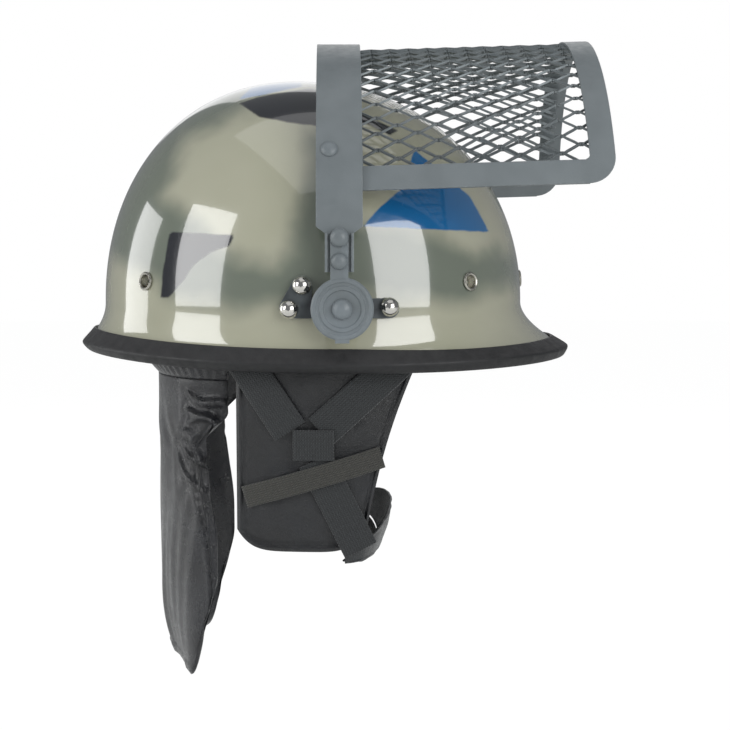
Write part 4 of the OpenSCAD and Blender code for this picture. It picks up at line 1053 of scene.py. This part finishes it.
class HELMET_OT_suspension(bpy.types.Operator):
    """Builds the sweatband, the crown straps and the crown pad."""

    bl_idname = "helmet.suspension"
    bl_label = "Suspension"

    def execute(self, context):
        a = (np.arange(240) / 240 * 2 * np.pi)[:, None]
        turn = np.linspace(0, 2 * np.pi, 28, endpoint=False)[None, :]
        thick, height = 2.9, 25.6
        rise, off = signed_pow(np.sin(turn), 0.45), signed_pow(np.cos(turn), 0.7)
        quilt = 0.35 * (1 - np.abs(np.sin(a * 20))) * np.maximum(0, -off)
        x, y = oval(a, HEADBAND[0] - 1.95 - thick / 2, HEADBAND[1] - 1.95 - thick / 2)
        nx, ny = oval(a, 1 / HEADBAND[0], 1 / HEADBAND[1])
        size = np.hypot(nx, ny)
        push = off * thick / 2 + quilt
        rows = np.stack([x + nx / size * push, y + ny / size * push, rise * height / 2 + 0 * a], -1)
        piece = ring_piece("sweatband_leather", rows)
        mount(piece, "helmet", "sweatband", "sweatband_leather", "sweatband")
        # Two straps cross over the head: straight legs outside the headband, then half an ellipse
        low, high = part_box("crown_straps")
        top, base, leg = high.z / MM, HEADBAND[2] / 2, 12
        for axis, half in ((0, high.x / MM), (1, high.y / MM)):
            turn = np.linspace(0, np.pi, 97)
            line = np.concatenate([
                np.stack([np.full(8, half - 0.7), np.linspace(base - leg, base, 9)[:-1]], -1),
                np.stack([(half - 0.7) * np.cos(turn), base + (top - base - 0.7) * np.sin(turn)], -1),
                np.stack([np.full(8, 0.7 - half), np.linspace(base, base - leg, 9)[1:]], -1)])
            out = np.gradient(line, axis=0)
            out = np.stack([out[:, 1], -out[:, 0]], -1) / np.linalg.norm(out, axis=1)[:, None]
            ring = np.linspace(0, 2 * np.pi, 16, endpoint=False)
            wide, deep = 10 * signed_pow(np.cos(ring), 0.3), 0.65 * signed_pow(np.sin(ring), 0.6)
            flat = line[:, None, :] + out[:, None, :] * deep[None, :, None]
            across = np.broadcast_to(wide, flat.shape[:2])
            order = (flat[..., 0], across, flat[..., 1]) if axis == 0 else (across, flat[..., 0], flat[..., 1])
            uv = np.stack(np.broadcast_arrays(across, arc_lengths(line)[:, None]), -1)
            name = ("crown_strap_across_tape", "crown_strap_along_tape")[axis]
            piece = capped_piece(name, np.stack(order, -1), uv)
            mount(piece, "helmet", "webbing", "webbing", "crown_straps")
        # A round pad: flat underneath, domed above, with four sewn channels
        low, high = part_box("crown_pad")
        radius, bottom, top = high.x / MM, low.z / MM, high.z / MM
        a = (np.arange(120) / 120 * 2 * np.pi)[None, :]
        r = np.linspace(0, 1, 31)[1:, None]
        dome_z = mix(bottom + 3.4, top - 0.4, (1 - r**2.2)) + 0 * a
        channel = 1.1 * bump(np.mod(a + np.pi / 8, np.pi / 4) - np.pi / 8, 0, 0.05 / r)
        channel = channel * smooth(r, 0.1, 0.3) * smooth(1 - r, 0.02, 0.15)
        under_z = bottom + 0.3 + 1.6 * r**8 + 0 * a
        upper = np.stack([radius * 0.985 * r * np.cos(a), radius * 0.985 * r * np.sin(a), dome_z - channel], -1)
        under = np.stack([radius * 0.97 * r * np.cos(a), radius * 0.97 * r * np.sin(a), under_z], -1)
        piece = capped_piece("crown_pad_knit", np.concatenate([upper, under[::-1]]))
        mount(piece, "helmet", "lining", "pad_fabric", "crown_pad")
        return {"FINISHED"}


# ---- stage ----
AIM = (0.0, -0.0303, -0.03965)  # what the camera looks at, in metres
CAMERA_AT = (-91.1, 4.2)  # azimuth and elevation of the camera, in degrees
CAMERA_FAR = 1.02
FLOOR_Z = -330.0  # the helmet hangs above its floor, as on a stand
FLOOR_RINGS = (1500.0, 3500.0, 7000.0)


def direction(azimuth, elevation):
    """The unit vector from the helmet towards a viewer: azimuth 0 is in front, 90 degrees its left."""
    a, e = math.radians(azimuth), math.radians(elevation)
    return np.array([math.sin(a) * math.cos(e), -math.cos(a) * math.cos(e), math.sin(e)])


def aim(thing, position, target):
    """Puts a camera or a lamp at a position and turns it to look at a target."""
    thing.location = position
    thing.rotation_euler = (Vector(target) - Vector(position)).to_track_quat("-Z", "Y").to_euler()


class HELMET_OT_stage(bpy.types.Operator):
    """Sets up the camera, the floor, the lamps and the world."""

    bl_idname = "helmet.stage"
    bl_label = "Stage"

    def execute(self, context):
        scene = context.scene
        scene.view_settings.view_transform = "Standard"
        target = np.array(AIM)
        camera = bpy.data.objects.new("camera", bpy.data.cameras.new("camera"))
        scene.collection.objects.link(camera)
        camera.data.lens = scene.helmet_sizes.camera_lens
        camera.data.sensor_width = 36
        camera.data.clip_start = 0.02
        aim(camera, target + CAMERA_FAR * direction(*CAMERA_AT), target)
        scene.camera = camera
        # Softboxes stand where the shell mirrors them as two tall windows
        for name, azimuth, elevation, far, wide, tall, power in (
            ("rear_window", -148, 16, 2.2, 1.0, 1.4, 16),
            ("front_window", -54, 16, 2.2, 1.4, 1.4, 22),
            ("overhead", -70, 78, 2.4, 2.4, 2.4, 9),
            ("far_fill", 90, 30, 2.6, 1.6, 1.6, 7),
            ("back_strip", 168, 4, 2.2, 0.9, 1.6, 12),
        ):
            lamp = bpy.data.objects.new(name, bpy.data.lights.new(name, "AREA"))
            scene.collection.objects.link(lamp)
            lamp.data.shape, lamp.data.size, lamp.data.size_y = "RECTANGLE", wide, tall
            lamp.data.energy = power
            aim(lamp, far * direction(azimuth, elevation), (0, 0, 0))
        world = bpy.data.worlds.new("studio")
        scene.world = world
        world.use_nodes = True
        tree = world.node_tree
        background = tree.nodes["Background"]
        rays = node(tree, "ShaderNodeLightPath")
        seen = sum_of(tree, rays.outputs["Is Camera Ray"], rays.outputs["Is Transmission Ray"], "MAXIMUM")
        shown = blended(tree, rays.outputs["Is Glossy Ray"], "#a4a6a8", "#7c7e80")
        tree.links.new(blended(tree, seen, shown, "#ffffff"), background.inputs["Color"])
        rings, sides = len(FLOOR_RINGS), 96
        turn = np.arange(sides) / sides * 2 * np.pi
        r = np.array(FLOOR_RINGS)[:, None]
        disc = np.stack([r * np.cos(turn), r * np.sin(turn), np.full((rings, sides), FLOOR_Z)], -1)
        points = np.concatenate([disc.reshape(-1, 3), [[0, 0, FLOOR_Z]]])
        i = np.arange(sides)
        hub = np.stack([i, (i + 1) % sides, np.full(sides, rings * sides)], -1)
        mesh = bpy.data.meshes.new("floor")
        faces = grid_faces(rings, sides, ring=True)[:, ::-1].tolist() + hub.tolist()
        mesh.from_pydata((points * MM).tolist(), [], faces)
        floor = bpy.data.objects.new("floor", mesh)
        scene.collection.objects.link(floor)
        mat, tree, shader = material("matt_card", "#f2f2f0", 0.9)
        rays = node(tree, "ShaderNodeLightPath")
        glow = node(tree, "ShaderNodeEmission", {"Color": colour("#ffffff"), "Strength": 1.05})
        # A camera ray sees mostly the glow, so the floor shows white and keeps a faint shadow
        white = sum_of(tree, rays.outputs["Is Camera Ray"], 0.92, "MULTIPLY")
        mixed = node(tree, "ShaderNodeMixShader", {0: white, 1: shader.outputs[0], 2: glow.outputs[0]})
        tree.links.new(mixed.outputs[0], tree.nodes["Material Output"].inputs["Surface"])
        mesh.materials.append(mat)
        return {"FINISHED"}


class HELMET_PT_panel(bpy.types.Panel):
    """Lists the helmet's operators, sizes and colours in the 3D view's sidebar."""

    bl_label = "Riot helmet"
    bl_idname = "HELMET_PT_panel"
    bl_space_type = "VIEW_3D"
    bl_region_type = "UI"
    bl_category = "Helmet"

    def draw(self, context):
        for operator in OPERATORS:
            self.layout.operator(operator.bl_idname)
        for group in (context.scene.helmet_sizes, context.scene.helmet_colours):
            for name in type(group).__annotations__:
                self.layout.prop(group, name)


OPERATORS = (
    HELMET_OT_stage, HELMET_OT_shell, HELMET_OT_trim, HELMET_OT_visor_mesh, HELMET_OT_hardware,
    HELMET_OT_neck_guard, HELMET_OT_ear_flaps, HELMET_OT_straps, HELMET_OT_chin_cup, HELMET_OT_suspension,
)
CLASSES = (HelmetColours, HelmetSizes, *OPERATORS, HELMET_PT_panel)


def register():
    for item in CLASSES:
        bpy.utils.register_class(item)
    bpy.types.Scene.helmet_colours = bpy.props.PointerProperty(type=HelmetColours)
    bpy.types.Scene.helmet_sizes = bpy.props.PointerProperty(type=HelmetSizes)


def unregister():
    del bpy.types.Scene.helmet_sizes
    del bpy.types.Scene.helmet_colours
    for item in reversed(CLASSES):
        bpy.utils.unregister_class(item)


def main():
    """Registers the add-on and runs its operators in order."""
    register()
    for operator in OPERATORS:
        group, name = operator.bl_idname.split(".")
        getattr(getattr(bpy.ops, group), name)()


if __name__ == "__main__":
    main()
